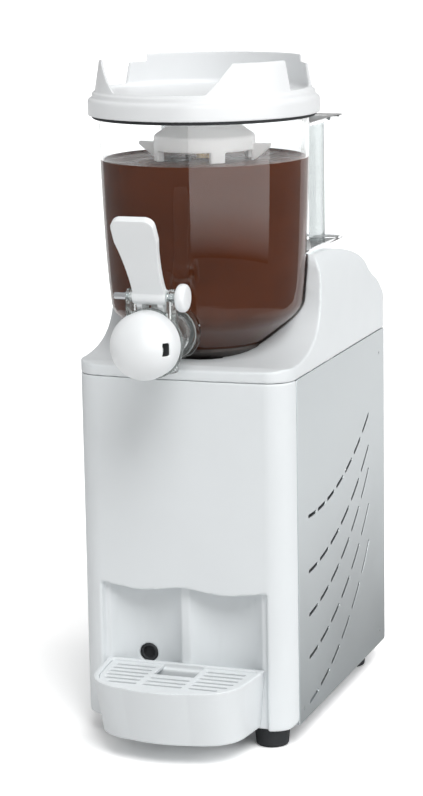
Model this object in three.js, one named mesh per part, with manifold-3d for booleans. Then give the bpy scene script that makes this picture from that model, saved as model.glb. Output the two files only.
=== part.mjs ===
// Countertop hot chocolate dispenser: a moulded housing with steel side panels, a heated clear bowl with a
// stirrer, a lever tap and a drip tray. Millimetres, +X right, +Y back, +Z up, front facing -Y.
import * as THREE from 'three';
import { mergeVertices } from 'three/addons/utils/BufferGeometryUtils.js';
import Module from 'manifold-3d';

const wasm = await Module();
wasm.setup();

// Clearances
const gap = 0.3; // between pieces that touch
const overrun = 2; // how far a cut runs past what it cuts

// Housing
const bodyWidth = 200;
const bodyDepth = 302;
const cornerRadius = 25;
const frontBulge = 3;
const footHeight = 20;
const seamHeight = 334; // where the top cover sits on the casing
const mouldWall = 3;
const sheetWall = 1.5;
const lowerCornerRadius = 8;

// Recess behind the cups
const recessHalfWidth = 77;
const recessDepth = 6;
const recessTop = 146;
const lipSag = 4;
const alcoveOffset = 38;
const alcoveHalfWidth = 34;
const alcoveDepth = 16;
const drainRadius = 8.5;
const drainOffset = -42;

// Side vents: rows of dashes on arcs of one radius
const ventRadius = 305;
const ventSlotWidth = 3.2;
const ventStart = 55; // from the front edge line to the first dash
const ventEnd = 255;
const ventDashCounts = [7, 6, 6, 6, 6];
const ventDashShare = 0.78;
const ventLowShares = [0.611, 0.46, 0.336, 0.216, 0.089]; // lowest point of each arc, of the seam height
const ventCentreShares = [0.242, 0.157, 0.091, 0.076, 0.057]; // its centre, of the body depth

// Rear panel
const louvreWidth = 56;
const louvreHeight = 5;
const louvrePitch = 14;
const louvreRows = 9;
const louvreTop = 300;
const louvreOffset = 42;
const inletWidth = 30;
const inletHeight = 22;
const inletDepth = 24;
const inletOffset = 52;
const inletPinPitch = 7;
const inletPinWidth = 2;
const inletPinHeight = 5;
const inletPinRise = 2;
const controlHeight = 70; // height of the inlet, switch and knob
const switchWidth = 21;
const switchHeight = 15;
const switchDepth = 14;
const rockerThickness = 4;
const rockerTilt = 8; // degrees each way from level
const knobRadius = 17;
const knobDepth = 14;
const knobOffset = -50;
const spindleRadius = 3;
const thermostatWidth = 42;
const thermostatDepth = 20;

// Base and feet
const panFlange = 18;
const footRadius = 16.5;
const footTaper = 2;
const footInset = 27.5; // from the side of the body
const footFrontInset = 29;
const footRearInset = 30;

// Top cover
const lipHeight = 10; // of the front band over the seam
const floorHeight = 11; // of the bowl pocket's floor over the seam
const humpHeight = 98; // of the highest point over the seam
const humpRearHeight = 34;
const shoulderRadius = 14;
const pocketRadius = 97.5;
const dishOpening = 44;

// Bowl
const bowlSetback = 77; // bowl axis behind the front corners' line
const bowlTop = 568;
const bowlTopRadius = 93.5;
const bowlShoulderRadius = 85.5;
const bowlShoulder = 392;
const bowlBellyRadius = 91;
const bowlBelly = 440;
const coneTopRadius = 76;
const coneTop = 377.5;
const coneBottomRadius = 25;
const coneBottom = 337;
const bowlFloor = 331;
const floorRound = 8;
const bowlWall = 2.2;
const stemRadius = 11.5;
const stemBore = 8;
const stemTop = 530;
const spigotRadius = 19;
const spigotBore = 13;
const spigotReach = 88; // from the bowl axis to the spigot's end face
const spigotFlangeRadius = 24.5;
const spigotFlangeThickness = 3.2;

// Bowl handle
const handleHalfWidth = 88;
const handleReach = 129; // from the bowl axis to its rear face
const handleBottom = 434;
const handleTop = 549;
const handleWall = 3;
const gripRadius = 7.5;
const gripOffset = 72;
const gripReach = 100;

// Heater
const dishWall = 2.5;
const dishRimShare = 0.48; // how far up the bowl's cone the dish reaches
const dishFlangeRadius = 54;
const elementInner = 21;
const elementOuter = 29;
const elementThickness = 7;

// Stirrer and drive
const shaftRadius = 5.5;
const shaftFlat = 3.9; // from the axis to each flat of its driving end
const hubTop = 552;
const hubCapRadius = 31;
const hubSkirtRadius = 45;
const hubSkirtBottom = 528;
const hubWall = 3;
const hubBossRadius = 12;
const hubLegWidth = 13;
const hubRingTop = 508;
const hubRingHeight = 8;
const finReach = 62;
const finDepth = 17;
const paddleThickness = 4;
const paddleBand = 8;
const scraperClearance = 4;
const gearboxWidth = 76;
const gearboxHeight = 34;
const motorRadius = 31;
const motorLength = 62;
const bracketThickness = 3;
const bracketDepth = 96;
const bracketFlange = 26;
const bracketDrop = 12; // of the bracket's top under the seam

// Lid
const lidRadius = 102.4;
const lidSkirtBottom = 560;
const lidSkirtHeight = 15;
const lidWall = 3;
const lidStepRadius = 98.5;
const lidDeck = 580;
const crownBaseRadius = 96;
const crownTopRadius = 91.5;
const crownTop = 608;
const crownNotchTopAngle = 33; // half angles of the pouring notch, in degrees
const crownNotchBottomAngle = 20;
const lidSealHeight = 2.7;
const lidSealOuter = 99;

// Tap
const tapHeight = 378;
const tapReach = 124; // from the bowl axis to the valve's axis
const flangeRadius = 22.5;
const flangeThickness = 4;
const sealThickness = 1.4;
const barrelRadius = 18;
const valveRadius = 17;
const valveBore = 13.3;
const valveTop = 24; // over the tap's axis
const valveBottom = -28;
const frontDiscRadius = 30.5;
const frontDiscThickness = 3;
const frontReach = 22; // from the valve's axis to the front disc's face
const neckRadius = 22;
const neckLength = 8;
const capRadius = 29;
const capLength = 35;
const capSkirt = 12;
const capSlotWidth = 6;
const capSlotHeight = 11;
const pinRadius = 3;
const pinHeight = 39;
const pinSetback = -15;
const pinLeft = 33;
const pinRight = 27;
const pinClearance = 0.3;
const earInner = 16.5;
const earThickness = 4;
const earHalfDepth = 7;
const knobDiscRadius = 12;
const knobDiscThickness = 9;
const leverHubRadius = 6.5;
const leverHubHalfWidth = 15;
const leverLength = 82;
const leverThickness = 7;
const leverTipHalfWidth = 19;
const leverWaistHalfWidth = 14.5;
const leverTipRadius = 8;
const leverLean = 30; // degrees forward of upright
const toeInner = 7;
const toeThickness = 5;
const toeHeight = 3.7;
const toeReach = 14; // behind the pin
const toeLead = 3.5; // in front of it
const headHalfWidth = 13;
const headHalfDepth = 6;
const headHeight = 5;
const headBottom = 30;
const plungerRadius = 12.9;
const plungerTop = 0;
const plungerBottom = -19;
const plungerStemRadius = 5.5;
const ringSection = 2.2;
const ringGroove = 1.8;
const glandHeight = 3.4;
const springRadius = 9.6;
const springWire = 1.5;
const springTurns = 4;

// Drip tray
const trayBottom = 22;
const trayTop = 75;
const trayHalfWidth = 74;
const trayReach = 82; // from the front corners' line to the rim's front
const trayCorner = 40;
const traySideTaper = 4;
const trayBulge = 5;
const trayWall = 3;
const trayRim = 9;
const trayNarrowingShare = 0.06;
const trayDraftShare = 0.2;
const grilleThickness = 3;
const grilleDrop = 1.5;
const grilleLedge = 4;
const grilleSlotWidth = 4.2;
const grilleSlotPitch = 9.5;
const grilleRows = 6;
const grilleColumns = 3;
const grilleRib = 5;
const notchHalfWidth = 19;
const notchDepth = 28;

// Places that follow from the sizes
const frontLine = -bodyDepth / 2;
const backLine = bodyDepth / 2;
const halfWidth = bodyWidth / 2;
const panelFront = frontLine + cornerRadius;
const bowlAxis = frontLine + bowlSetback;
const recessFace = frontLine + recessDepth;
const pocketFloor = seamHeight + floorHeight;
const valveAxis = bowlAxis - tapReach;

// Facets round the bowl and the smaller round pieces
const pocketSegments = 56;
const bowlSegments = 40;
const wideSegments = 32;
const midSegments = 24;
const smallSegments = 20;

// Materials
function finish(name, color, roughness, metalness = 0, opacity = 1) {
  return new THREE.MeshStandardMaterial({ name, color, roughness, metalness, opacity, transparent: opacity < 1 });
}
const whitePlastic = finish('white plastic', 0xe9ecee, 0.4);
const lidPlastic = finish('lid plastic', 0xf2f4f5, 0.35);
const brushedSteel = finish('brushed steel', 0xb9c1c6, 0.38, 1);
const plainSteel = finish('plain steel', 0x9aa0a4, 0.45, 1);
const clearPlastic = finish('clear plastic', 0xeaf1f4, 0.05, 0, 0.3);
const blackRubber = finish('black rubber', 0x1b1c1d, 0.8);
const blackPlastic = finish('black plastic', 0x202124, 0.45);
const darkMetal = finish('coated metal', 0x33302f, 0.4, 0.8);
const whiteNylon = finish('white nylon', 0xe4e6e8, 0.5);
const brassMetal = finish('brass', 0xb58c45, 0.35, 1);

// Geometry helpers
function withoutSlivers(index) {
  const kept = [];
  for (let i = 0; i < index.length; i += 3) {
    const [a, b, c] = [index[i], index[i + 1], index[i + 2]];
    if (a !== b && b !== c && c !== a) {
      kept.push(a, b, c);
    }
  }
  return kept;
}

function signedVolume(position, index) {
  const [a, b, c] = [new THREE.Vector3(), new THREE.Vector3(), new THREE.Vector3()];
  let total = 0;
  for (let i = 0; i < index.length; i += 3) {
    a.fromBufferAttribute(position, index[i]);
    b.fromBufferAttribute(position, index[i + 1]);
    c.fromBufferAttribute(position, index[i + 2]);
    total += a.dot(b.cross(c));
  }
  return total;
}

function solid(geometry) {
  const bare = geometry.clone();
  bare.deleteAttribute('normal');
  bare.deleteAttribute('uv');
  const merged = mergeVertices(bare, 1e-4);
  const index = withoutSlivers(merged.index.array);
  if (signedVolume(merged.attributes.position, index) < 0) {
    index.reverse();
  }
  const triVerts = new Uint32Array(index);
  const vertProperties = new Float32Array(merged.attributes.position.array);
  return new wasm.Manifold(new wasm.Mesh({ numProp: 3, vertProperties, triVerts }));
}

function geometryOf(body) {
  const mesh = body.getMesh();
  const geometry = new THREE.BufferGeometry();
  const { numProp, vertProperties } = mesh;
  const position = new Float32Array((vertProperties.length / numProp) * 3);
  for (let i = 0; i < position.length / 3; i += 1) {
    for (let k = 0; k < 3; k += 1) {
      position[i * 3 + k] = vertProperties[i * numProp + k];
    }
  }
  geometry.setAttribute('position', new THREE.BufferAttribute(position, 3));
  geometry.setIndex(new THREE.BufferAttribute(new Uint32Array(mesh.triVerts), 1));
  geometry.computeVertexNormals();
  return geometry;
}

const towards = {
  x: new THREE.Matrix4().makeBasis(
    new THREE.Vector3(0, 1, 0), new THREE.Vector3(0, 0, 1), new THREE.Vector3(1, 0, 0)),
  y: new THREE.Matrix4().makeBasis(
    new THREE.Vector3(1, 0, 0), new THREE.Vector3(0, 0, 1), new THREE.Vector3(0, -1, 0)),
  z: new THREE.Matrix4(),
};

// Extrudes a plan outline upwards, from low to high.
function upwards(shape, low, high, curveSegments = 12) {
  const geometry = new THREE.ExtrudeGeometry(shape, { depth: high - low, bevelEnabled: false, curveSegments });
  return solid(geometry.translate(0, 0, low));
}

// Extrudes a side outline, drawn as (y, z), from left to right.
function sideways(shape, left, right, curveSegments = 12) {
  const geometry = new THREE.ExtrudeGeometry(shape, { depth: right - left, bevelEnabled: false, curveSegments });
  return solid(geometry.applyMatrix4(towards.x).translate(left, 0, 0));
}

// Extrudes a front outline, drawn as (x, z), from front to back.
function backwards(shape, front, back, curveSegments = 12) {
  const geometry = new THREE.ExtrudeGeometry(shape, { depth: back - front, bevelEnabled: false, curveSegments });
  return solid(geometry.applyMatrix4(towards.y).translate(0, back, 0));
}

function outline(points) {
  return new THREE.Shape(points.map(([x, y]) => new THREE.Vector2(x, y)));
}

function block([left, right], [front, back], [low, high]) {
  const geometry = new THREE.BoxGeometry(right - left, back - front, high - low);
  return solid(geometry.translate((left + right) / 2, (front + back) / 2, (low + high) / 2));
}

// A solid of revolution about +Z from (radius, height) points.
function turned(points, segments = 48) {
  const geometry = new THREE.LatheGeometry(points.map(([r, h]) => new THREE.Vector2(r, h)), segments);
  return solid(geometry.rotateX(Math.PI / 2));
}

function closed(points) {
  return [...points, points[0]];
}

function disc(radius, low, high, segments = 48) {
  return turned([[0, low], [radius, low], [radius, high], [0, high]], segments);
}

function tube(inner, outer, low, high, segments = 48) {
  return turned(closed([[inner, low], [outer, low], [outer, high], [inner, high]]), segments);
}

// Turns a solid made about +Z so that its axis points along -Y (forwards) or +X (to the right).
function forwards(body) {
  return body.rotate([90, 0, 0]);
}

function rightwards(body) {
  return body.rotate([0, 90, 0]);
}

// Moves an open (a, b) outline sideways by a distance, to its left as it is walked.
function offset(points, distance) {
  return points.map((point, i) => {
    const before = points[Math.max(i - 1, 0)];
    const after = points[Math.min(i + 1, points.length - 1)];
    const along = new THREE.Vector2(after[0] - before[0], after[1] - before[1]).normalize();
    return [point[0] - along.y * distance, point[1] + along.x * distance];
  });
}

function curvePoints(curve, count) {
  return curve.getPoints(count).map((p) => [p.x, p.y]);
}

function bend(from, control, to, count) {
  const [a, b, c] = [from, control, to].map(([x, y]) => new THREE.Vector2(x, y));
  return curvePoints(new THREE.QuadraticBezierCurve(a, b, c), count);
}

const machine = new THREE.Group();

function add(parent, name, body, material, rotation = null) {
  const mesh = new THREE.Mesh(geometryOf(body), material);
  mesh.name = name;
  if (rotation) {
    mesh.rotation.set(...rotation);
  }
  parent.add(mesh);
  return mesh;
}

// Plan outline of the housing: straight back, round front corners, gently bowed front.
function footprint(inset) {
  const side = halfWidth - inset;
  const radius = cornerRadius - inset;
  const centreX = halfWidth - cornerRadius;
  const face = frontLine + inset;
  const shape = new THREE.Shape();
  shape.moveTo(-side, backLine - inset);
  shape.lineTo(-side, panelFront);
  shape.absarc(-centreX, panelFront, radius, Math.PI, 1.5 * Math.PI, false);
  shape.quadraticCurveTo(0, face - 2 * frontBulge, centreX, face);
  shape.absarc(centreX, panelFront, radius, 1.5 * Math.PI, 2 * Math.PI, false);
  shape.lineTo(side, backLine - inset);
  shape.closePath();
  return shape;
}

// Front outline of the casing, with round lower corners.
function casingFront(inset, low, high) {
  const side = halfWidth - inset;
  const radius = lowerCornerRadius;
  const shape = new THREE.Shape();
  shape.moveTo(-side, high);
  shape.lineTo(-side, low + radius);
  shape.absarc(-side + radius, low + radius, radius, Math.PI, 1.5 * Math.PI, false);
  shape.lineTo(side - radius, low);
  shape.absarc(side - radius, low + radius, radius, 1.5 * Math.PI, 2 * Math.PI, false);
  shape.lineTo(side, high);
  shape.closePath();
  return shape;
}

// The space of the recess and its two cup alcoves, grown on all sides by an allowance.
function recessSpace(grow) {
  const front = frontLine - frontBulge - overrun;
  const low = footHeight - overrun;
  const high = recessTop + lipSag;
  const alcoveRadius = (alcoveHalfWidth ** 2 + alcoveDepth ** 2) / (2 * alcoveDepth);
  const alcoveCentre = recessFace + alcoveDepth - alcoveRadius;
  const pocket = block(
    [-recessHalfWidth - grow, recessHalfWidth + grow], [front, recessFace + grow], [low, high + grow]);
  let space = pocket;
  for (const side of [-1, 1]) {
    const round = disc(alcoveRadius + grow, trayTop - grow, high + grow, pocketSegments);
    space = space.add(round.translate([side * alcoveOffset, alcoveCentre, 0]));
  }
  const lip = [
    [-recessHalfWidth, 0], [-alcoveOffset, -lipSag], [0, lipSag / 8], [alcoveOffset, -lipSag], [recessHalfWidth, 0],
  ].map(([x, z]) => new THREE.Vector2(x, recessTop + z));
  const shape = new THREE.Shape();
  shape.moveTo(-halfWidth, low - overrun);
  shape.lineTo(halfWidth, low - overrun);
  shape.lineTo(halfWidth, recessTop + grow);
  const wave = curvePoints(new THREE.SplineCurve(lip), 12).reverse();
  wave.forEach(([x, z]) => shape.lineTo(x, z + grow));
  shape.lineTo(-halfWidth, recessTop + grow);
  shape.closePath();
  return space.intersect(backwards(shape, front - overrun, backLine));
}

function frontCasing() {
  const top = seamHeight;
  const cut = block([-halfWidth, halfWidth], [panelFront, backLine + overrun], [0, top + overrun]);
  const outer = upwards(footprint(0), footHeight, top)
    .intersect(backwards(casingFront(0, footHeight, top), frontLine - 2 * frontBulge, backLine))
    .subtract(cut);
  const inner = upwards(footprint(mouldWall), footHeight + mouldWall, top + overrun)
    .intersect(backwards(casingFront(mouldWall, footHeight + mouldWall, top + overrun),
      frontLine - 2 * frontBulge, backLine));
  const liner = recessSpace(mouldWall).intersect(outer);
  const drain = forwards(disc(drainRadius, 0, recessDepth + alcoveDepth + 2 * mouldWall, 24))
    .translate([drainOffset, recessFace + alcoveDepth + 2 * mouldWall, trayTop + drainRadius / 6]);
  return outer.subtract(inner).add(liner).subtract(recessSpace(0)).subtract(drain);
}

function drainGrommet() {
  const back = recessFace + alcoveDepth + 2 * mouldWall;
  const ring = tube(drainRadius - mouldWall, drainRadius - gap, 0, 2 * mouldWall, 24);
  return forwards(ring.add(disc(drainRadius - gap, 0, mouldWall / 2, 24)))
    .translate([drainOffset, back, trayTop + drainRadius / 6]);
}

function ventSlots(side) {
  let cuts = null;
  ventLowShares.forEach((lowShare, row) => {
    const lowest = lowShare * seamHeight;
    const centreY = frontLine + ventCentreShares[row] * bodyDepth;
    const centreZ = lowest + ventRadius;
    const pitch = (ventEnd - ventStart) / ventDashCounts[row];
    for (let dash = 0; dash < ventDashCounts[row]; dash += 1) {
      const from = frontLine + ventStart + dash * pitch;
      const to = from + pitch * ventDashShare;
      const startAngle = Math.asin((from - centreY) / ventRadius) - Math.PI / 2;
      const endAngle = Math.asin((to - centreY) / ventRadius) - Math.PI / 2;
      const shape = new THREE.Shape();
      shape.absarc(centreY, centreZ, ventRadius + ventSlotWidth / 2, startAngle, endAngle, false);
      shape.absarc(centreY, centreZ, ventRadius - ventSlotWidth / 2, endAngle, startAngle, true);
      shape.closePath();
      const slot = sideways(shape, halfWidth - sheetWall - overrun, halfWidth + overrun, 1);
      cuts = cuts ? cuts.add(slot) : slot;
    }
  });
  return side > 0 ? cuts : cuts.mirror([1, 0, 0]);
}

function sidePanel(side) {
  const across = [side * halfWidth, side * (halfWidth - sheetWall)].sort((a, b) => a - b);
  const sheet = block(across, [panelFront + gap, backLine], [footHeight, seamHeight]);
  return sheet.subtract(ventSlots(side));
}

function rearPanel() {
  const half = halfWidth - sheetWall - gap;
  let sheet = block([-half, half], [backLine - sheetWall, backLine], [footHeight, seamHeight]);
  for (let row = 0; row < louvreRows; row += 1) {
    for (const side of [-1, 1]) {
      const z = louvreTop - row * louvrePitch;
      const x = side * louvreOffset;
      sheet = sheet.subtract(block(
        [x - louvreWidth / 2, x + louvreWidth / 2], [backLine - 2 * overrun, backLine + overrun],
        [z - louvreHeight / 2, z + louvreHeight / 2]));
    }
  }
  const holes = [
    [inletOffset, inletWidth / 2 + gap, inletHeight / 2 + gap],
    [0, switchWidth / 2 + gap, switchHeight / 2 + gap],
  ];
  holes.forEach(([x, w, h]) => {
    sheet = sheet.subtract(block(
      [x - w, x + w], [backLine - 2 * overrun, backLine + overrun], [controlHeight - h, controlHeight + h]));
  });
  const spindleHole = forwards(disc(spindleRadius + gap, -overrun, 2 * overrun, 20));
  return sheet.subtract(spindleHole.translate([knobOffset, backLine, controlHeight]));
}

function basePan() {
  const side = halfWidth - sheetWall - gap;
  const [front, back] = [panelFront + gap, backLine - sheetWall - gap];
  const low = footHeight;
  const outer = block([-side, side], [front, back], [low, low + panFlange]);
  const inner = block(
    [-side + sheetWall, side - sheetWall], [front - overrun, back - sheetWall], [low + sheetWall, seamHeight]);
  let pan = outer.subtract(inner);
  const slot = block([-louvreWidth / 2, louvreWidth / 2], [-louvreHeight, louvreHeight], [0, seamHeight / 2]);
  for (const row of [-1, 0, 1]) {
    pan = pan.subtract(slot.translate([0, row * 3 * louvrePitch, 0]));
  }
  return pan;
}

function foot() {
  const edge = footTaper;
  return turned([
    [0, 0], [footRadius - 2 * footTaper, 0], [footRadius - footTaper, edge],
    [footRadius, footHeight - gap], [0, footHeight - gap],
  ], smallSegments);
}

// Top edge of the cover seen from the right: low deck, concave sweep, upright face, falling back.
function coverTopLine() {
  const top = seamHeight + humpHeight;
  const deck = seamHeight + lipHeight;
  const sweepEnd = [bowlAxis + 0.2 * pocketRadius, seamHeight + 0.68 * humpHeight];
  return [
    [frontLine - 2 * frontBulge, deck - lipHeight / 4],
    [frontLine, deck],
    ...bend([frontLine + lipHeight, deck + lipHeight / 2], [bowlAxis, deck + 1.6 * lipHeight], sweepEnd, 10),
    ...bend([sweepEnd[0] + 2, top - shoulderRadius], [sweepEnd[0] + 3, top], [sweepEnd[0] + shoulderRadius, top], 4),
    ...bend([0, top - 1], [backLine / 2, top - 8], [backLine - 2 * cornerRadius, top - 0.34 * humpHeight], 6),
    ...bend([backLine - 1.4 * cornerRadius, top - 0.42 * humpHeight],
      [backLine - shoulderRadius, top - 0.5 * humpHeight], [backLine, seamHeight + humpRearHeight], 5),
  ];
}

function topCover() {
  const low = seamHeight + gap;
  const line = coverTopLine();
  const far = backLine + 2 * overrun;
  const profile = (points, bottom) => outline([
    [points[0][0] - overrun, bottom], [far, bottom], [far, points[points.length - 1][1]], ...[...points].reverse(),
    [points[0][0] - overrun, points[0][1]],
  ]);
  const shoulders = (inset, bottom) => {
    const side = halfWidth - inset;
    const top = seamHeight + humpHeight + overrun - inset;
    const start = [side, top - 2.4 * shoulderRadius];
    const end = [side - shoulderRadius, top];
    const right = bend(start, [side, top - shoulderRadius / 3], end, 6);
    const left = right.map(([x, z]) => [-x, z]).reverse();
    return outline([[-side, bottom], [side, bottom], ...right, ...left]);
  };
  const span = [frontLine - 4 * frontBulge, far];
  const outer = sideways(profile(line, low), -halfWidth, halfWidth)
    .intersect(upwards(footprint(0), low, seamHeight + 2 * humpHeight, 10))
    .intersect(backwards(shoulders(0, low), ...span));
  const cavityLine = offset(line, -mouldWall);
  const pocketSkin = disc(pocketRadius + mouldWall, pocketFloor - mouldWall, seamHeight + 2 * humpHeight, pocketSegments)
    .translate([0, bowlAxis, 0]);
  const cavity = sideways(profile(cavityLine, low - overrun), -halfWidth + mouldWall, halfWidth - mouldWall)
    .intersect(upwards(footprint(mouldWall), low - overrun, seamHeight + 2 * humpHeight, 10))
    .intersect(backwards(shoulders(mouldWall, low - overrun), ...span))
    .subtract(pocketSkin);
  const pocket = disc(pocketRadius, pocketFloor, seamHeight + 2 * humpHeight, pocketSegments);
  const opening = disc(dishOpening, seamHeight - overrun, pocketFloor + overrun, wideSegments);
  return outer.subtract(cavity).subtract(pocket.add(opening).translate([0, bowlAxis, 0]));
}

// Outer face of the bowl as (radius, height), from the floor up to the rim.
function bowlSkin() {
  return [
    [stemRadius, bowlFloor],
    [coneBottomRadius - floorRound, bowlFloor], [coneBottomRadius, coneBottom],
    [coneTopRadius, coneTop],
    ...bend([coneTopRadius + 3, coneTop + 2.6], [bowlShoulderRadius - 1, coneTop + 7],
      [bowlShoulderRadius, bowlShoulder], 2),
    ...bend([bowlShoulderRadius + 0.6, bowlShoulder + 6], [bowlBellyRadius, bowlBelly], [bowlTopRadius, bowlTop], 3),
  ];
}

function bowl() {
  const skin = bowlSkin();
  const lining = offset(skin, bowlWall);
  lining[0] = [stemRadius, lining[1][1]];
  lining[lining.length - 1][1] = bowlTop;
  const shell = turned(closed([
    [stemBore, bowlFloor], ...skin, ...lining.reverse(), [stemRadius, stemTop], [stemBore, stemTop],
  ]), bowlSegments);
  const spigot = forwards(disc(spigotRadius, 0, spigotReach, midSegments)
    .add(disc(spigotFlangeRadius, spigotReach - spigotFlangeThickness, spigotReach, midSegments)))
    .translate([0, 0, tapHeight]);
  const inside = turned([[0, bowlFloor + overrun], ...offset(skin, bowlWall).slice(1), [0, bowlTop + overrun]], bowlSegments);
  const bore = forwards(disc(spigotBore, stemRadius + 2 * overrun, spigotReach + overrun, midSegments))
    .translate([0, 0, tapHeight]);
  return shell.add(spigot.subtract(inside)).subtract(bore);
}

function bowlHandle() {
  const reach = handleReach;
  const [low, high] = [handleBottom, handleTop];
  const outer = block([-handleHalfWidth, handleHalfWidth], [0, reach], [low, high]);
  const space = block(
    [-halfWidth, halfWidth], [-overrun, reach - handleWall], [low + handleWall, high - handleWall]);
  let loop = outer.subtract(space);
  for (const side of [-1, 1]) {
    loop = loop.add(disc(gripRadius, low + handleWall / 2, high - handleWall / 2, 20)
      .translate([side * gripOffset, gripReach, 0]));
  }
  const skin = offset(bowlSkin(), -gap);
  const clearance = turned([[0, 0], [skin[0][0], 0], ...skin, [skin[skin.length - 1][0], bowlTop], [0, bowlTop]],
    bowlSegments);
  return loop.subtract(clearance);
}

function heaterDish() {
  const rim = [
    coneBottomRadius + (coneTopRadius - coneBottomRadius) * dishRimShare,
    coneBottom + (coneTop - coneBottom) * dishRimShare,
  ];
  const path = [...bowlSkin().slice(1, 3), rim];
  const face = offset(path, -gap);
  const back = offset(path, -gap - dishWall).reverse();
  const shell = turned(closed([...face, ...back]), wideSegments);
  const flangeTop = pocketFloor - mouldWall - gap;
  const flangeInner = coneBottomRadius + (flangeTop - coneBottom) / (coneTop - coneBottom)
    * (coneTopRadius - coneBottomRadius) + dishWall;
  const flange = tube(flangeInner, dishFlangeRadius, flangeTop - dishWall, flangeTop, wideSegments);
  return shell.add(flange);
}

function heaterElement() {
  const slope = (coneTop - coneBottom) / (coneTopRadius - coneBottomRadius);
  const drop = (dishWall + 2 * gap) * Math.hypot(1, slope);
  const line = (r) => coneBottom + (r - coneBottomRadius) * slope - drop;
  return turned(closed([
    [elementInner, line(elementInner) - elementThickness], [elementOuter, line(elementOuter) - elementThickness],
    [elementOuter, line(elementOuter)], [elementInner, line(elementInner)],
  ]), midSegments);
}

// A rod with two flats, which turns what sits on it.
function flattedRod(radius, flat, low, high) {
  const band = block([-radius - overrun, radius + overrun], [-flat, flat], [low, high]);
  return disc(radius, low, high, smallSegments).intersect(band);
}

function driveShaft() {
  const bottom = seamHeight - bracketDrop - bracketThickness - gearboxHeight / 2;
  const top = hubTop - 2 * hubWall;
  const round = disc(shaftRadius, bottom, stemTop, smallSegments);
  return round.add(flattedRod(shaftRadius, shaftFlat, stemTop - overrun, top));
}

function stirrer() {
  const shoulder = hubTop - hubWall - 8;
  const cap = turned([
    [0, hubTop], [hubCapRadius - 2, hubTop], [hubCapRadius, hubTop - 2], [hubSkirtRadius - 1, shoulder],
    [hubSkirtRadius, shoulder - 2], [hubSkirtRadius, hubSkirtBottom], [hubSkirtRadius - hubWall, hubSkirtBottom],
    [hubSkirtRadius - hubWall, shoulder - hubWall], [hubCapRadius - hubWall, hubTop - 2 * hubWall + 1],
    [hubBossRadius, hubTop - 2 * hubWall + 1], [hubBossRadius, stemTop + 1], [0, stemTop + 1],
  ].reverse(), wideSegments);
  const socket = flattedRod(shaftRadius + gap, shaftFlat + gap, stemTop, hubTop - 2 * hubWall + gap);
  let body = cap.subtract(socket);
  const legInner = hubSkirtRadius - 2 * hubWall;
  const ringBottom = hubRingTop - hubRingHeight;
  body = body.add(tube(legInner, hubSkirtRadius, ringBottom, hubRingTop, wideSegments));
  const legBand = tube(legInner, hubSkirtRadius, ringBottom, hubSkirtBottom + hubWall, wideSegments);
  for (let leg = 0; leg < 4; leg += 1) {
    const post = block([0, hubSkirtRadius + overrun], [-hubLegWidth / 2, hubLegWidth / 2],
      [ringBottom, hubSkirtBottom + hubWall]).rotate([0, 0, 35 + 90 * leg]);
    body = body.add(legBand.intersect(post));
  }
  const lining = offset(bowlSkin(), bowlWall + scraperClearance).slice(2);
  const wallPath = lining.filter(([, z]) => z < hubRingTop);
  const innerPath = offset(wallPath, paddleBand);
  const topRadius = wallPath[wallPath.length - 1][0];
  const collarRadius = stemRadius + overrun;
  const low = lining[0][1];
  const frame = outline([
    [legInner + 1, hubRingTop], [topRadius, hubRingTop], ...[...wallPath].reverse(),
    [collarRadius, low], [collarRadius, low + paddleBand],
    ...innerPath.filter(([, z]) => z < hubRingTop - hubRingHeight),
    [topRadius - paddleBand, ringBottom], [legInner + 1, ringBottom],
  ]);
  const fin = outline([
    [hubSkirtRadius - 1, hubSkirtBottom + 2 * hubWall], [finReach, hubSkirtBottom + 2 * hubWall],
    [finReach, hubSkirtBottom + hubWall], [hubSkirtRadius - 1, hubSkirtBottom + 2 * hubWall - finDepth],
  ]);
  const half = paddleThickness / 2;
  for (const turn of [0, 180]) {
    body = body.add(backwards(frame, -half, half).rotate([0, 0, turn]));
    body = body.add(backwards(fin, -half, half).rotate([0, 0, turn]));
  }
  return body.add(tube(collarRadius, collarRadius + paddleBand, low, low + paddleBand, smallSegments));
}

function gearbox() {
  const top = seamHeight - bracketDrop - bracketThickness - gap;
  const half = gearboxWidth / 2;
  const corner = half / 4;
  const shape = new THREE.Shape();
  shape.absarc(half - corner, half - corner, corner, 0, Math.PI / 2, false);
  shape.absarc(-half + corner, half - corner, corner, Math.PI / 2, Math.PI, false);
  shape.absarc(-half + corner, -half + corner, corner, Math.PI, 1.5 * Math.PI, false);
  shape.absarc(half - corner, -half + corner, corner, 1.5 * Math.PI, 2 * Math.PI, false);
  const bore = disc(shaftRadius + gap, top - gearboxHeight / 2 - gap - mouldWall, top + overrun, 24);
  return upwards(shape, top - gearboxHeight, top, 5).subtract(bore);
}

function motor() {
  const top = seamHeight - bracketDrop - bracketThickness - gearboxHeight - 2 * gap;
  const can = turned([
    [0, top - motorLength], [motorRadius - 4, top - motorLength], [motorRadius, top - motorLength + 4],
    [motorRadius, top], [0, top],
  ], midSegments);
  return can.add(disc(shaftRadius * 2, top - motorLength - shaftRadius, top - motorLength + overrun, smallSegments));
}

function motorBracket() {
  const side = halfWidth - sheetWall - gap;
  const top = seamHeight - bracketDrop;
  const outer = block([-side, side], [-bracketDepth / 2, bracketDepth / 2], [top - bracketFlange, top]);
  const inner = block([-side + bracketThickness, side - bracketThickness],
    [-bracketDepth / 2 - overrun, bracketDepth / 2 + overrun], [0, top - bracketThickness]);
  return outer.subtract(inner).subtract(disc(3 * shaftRadius, 0, top + overrun, smallSegments));
}

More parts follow.
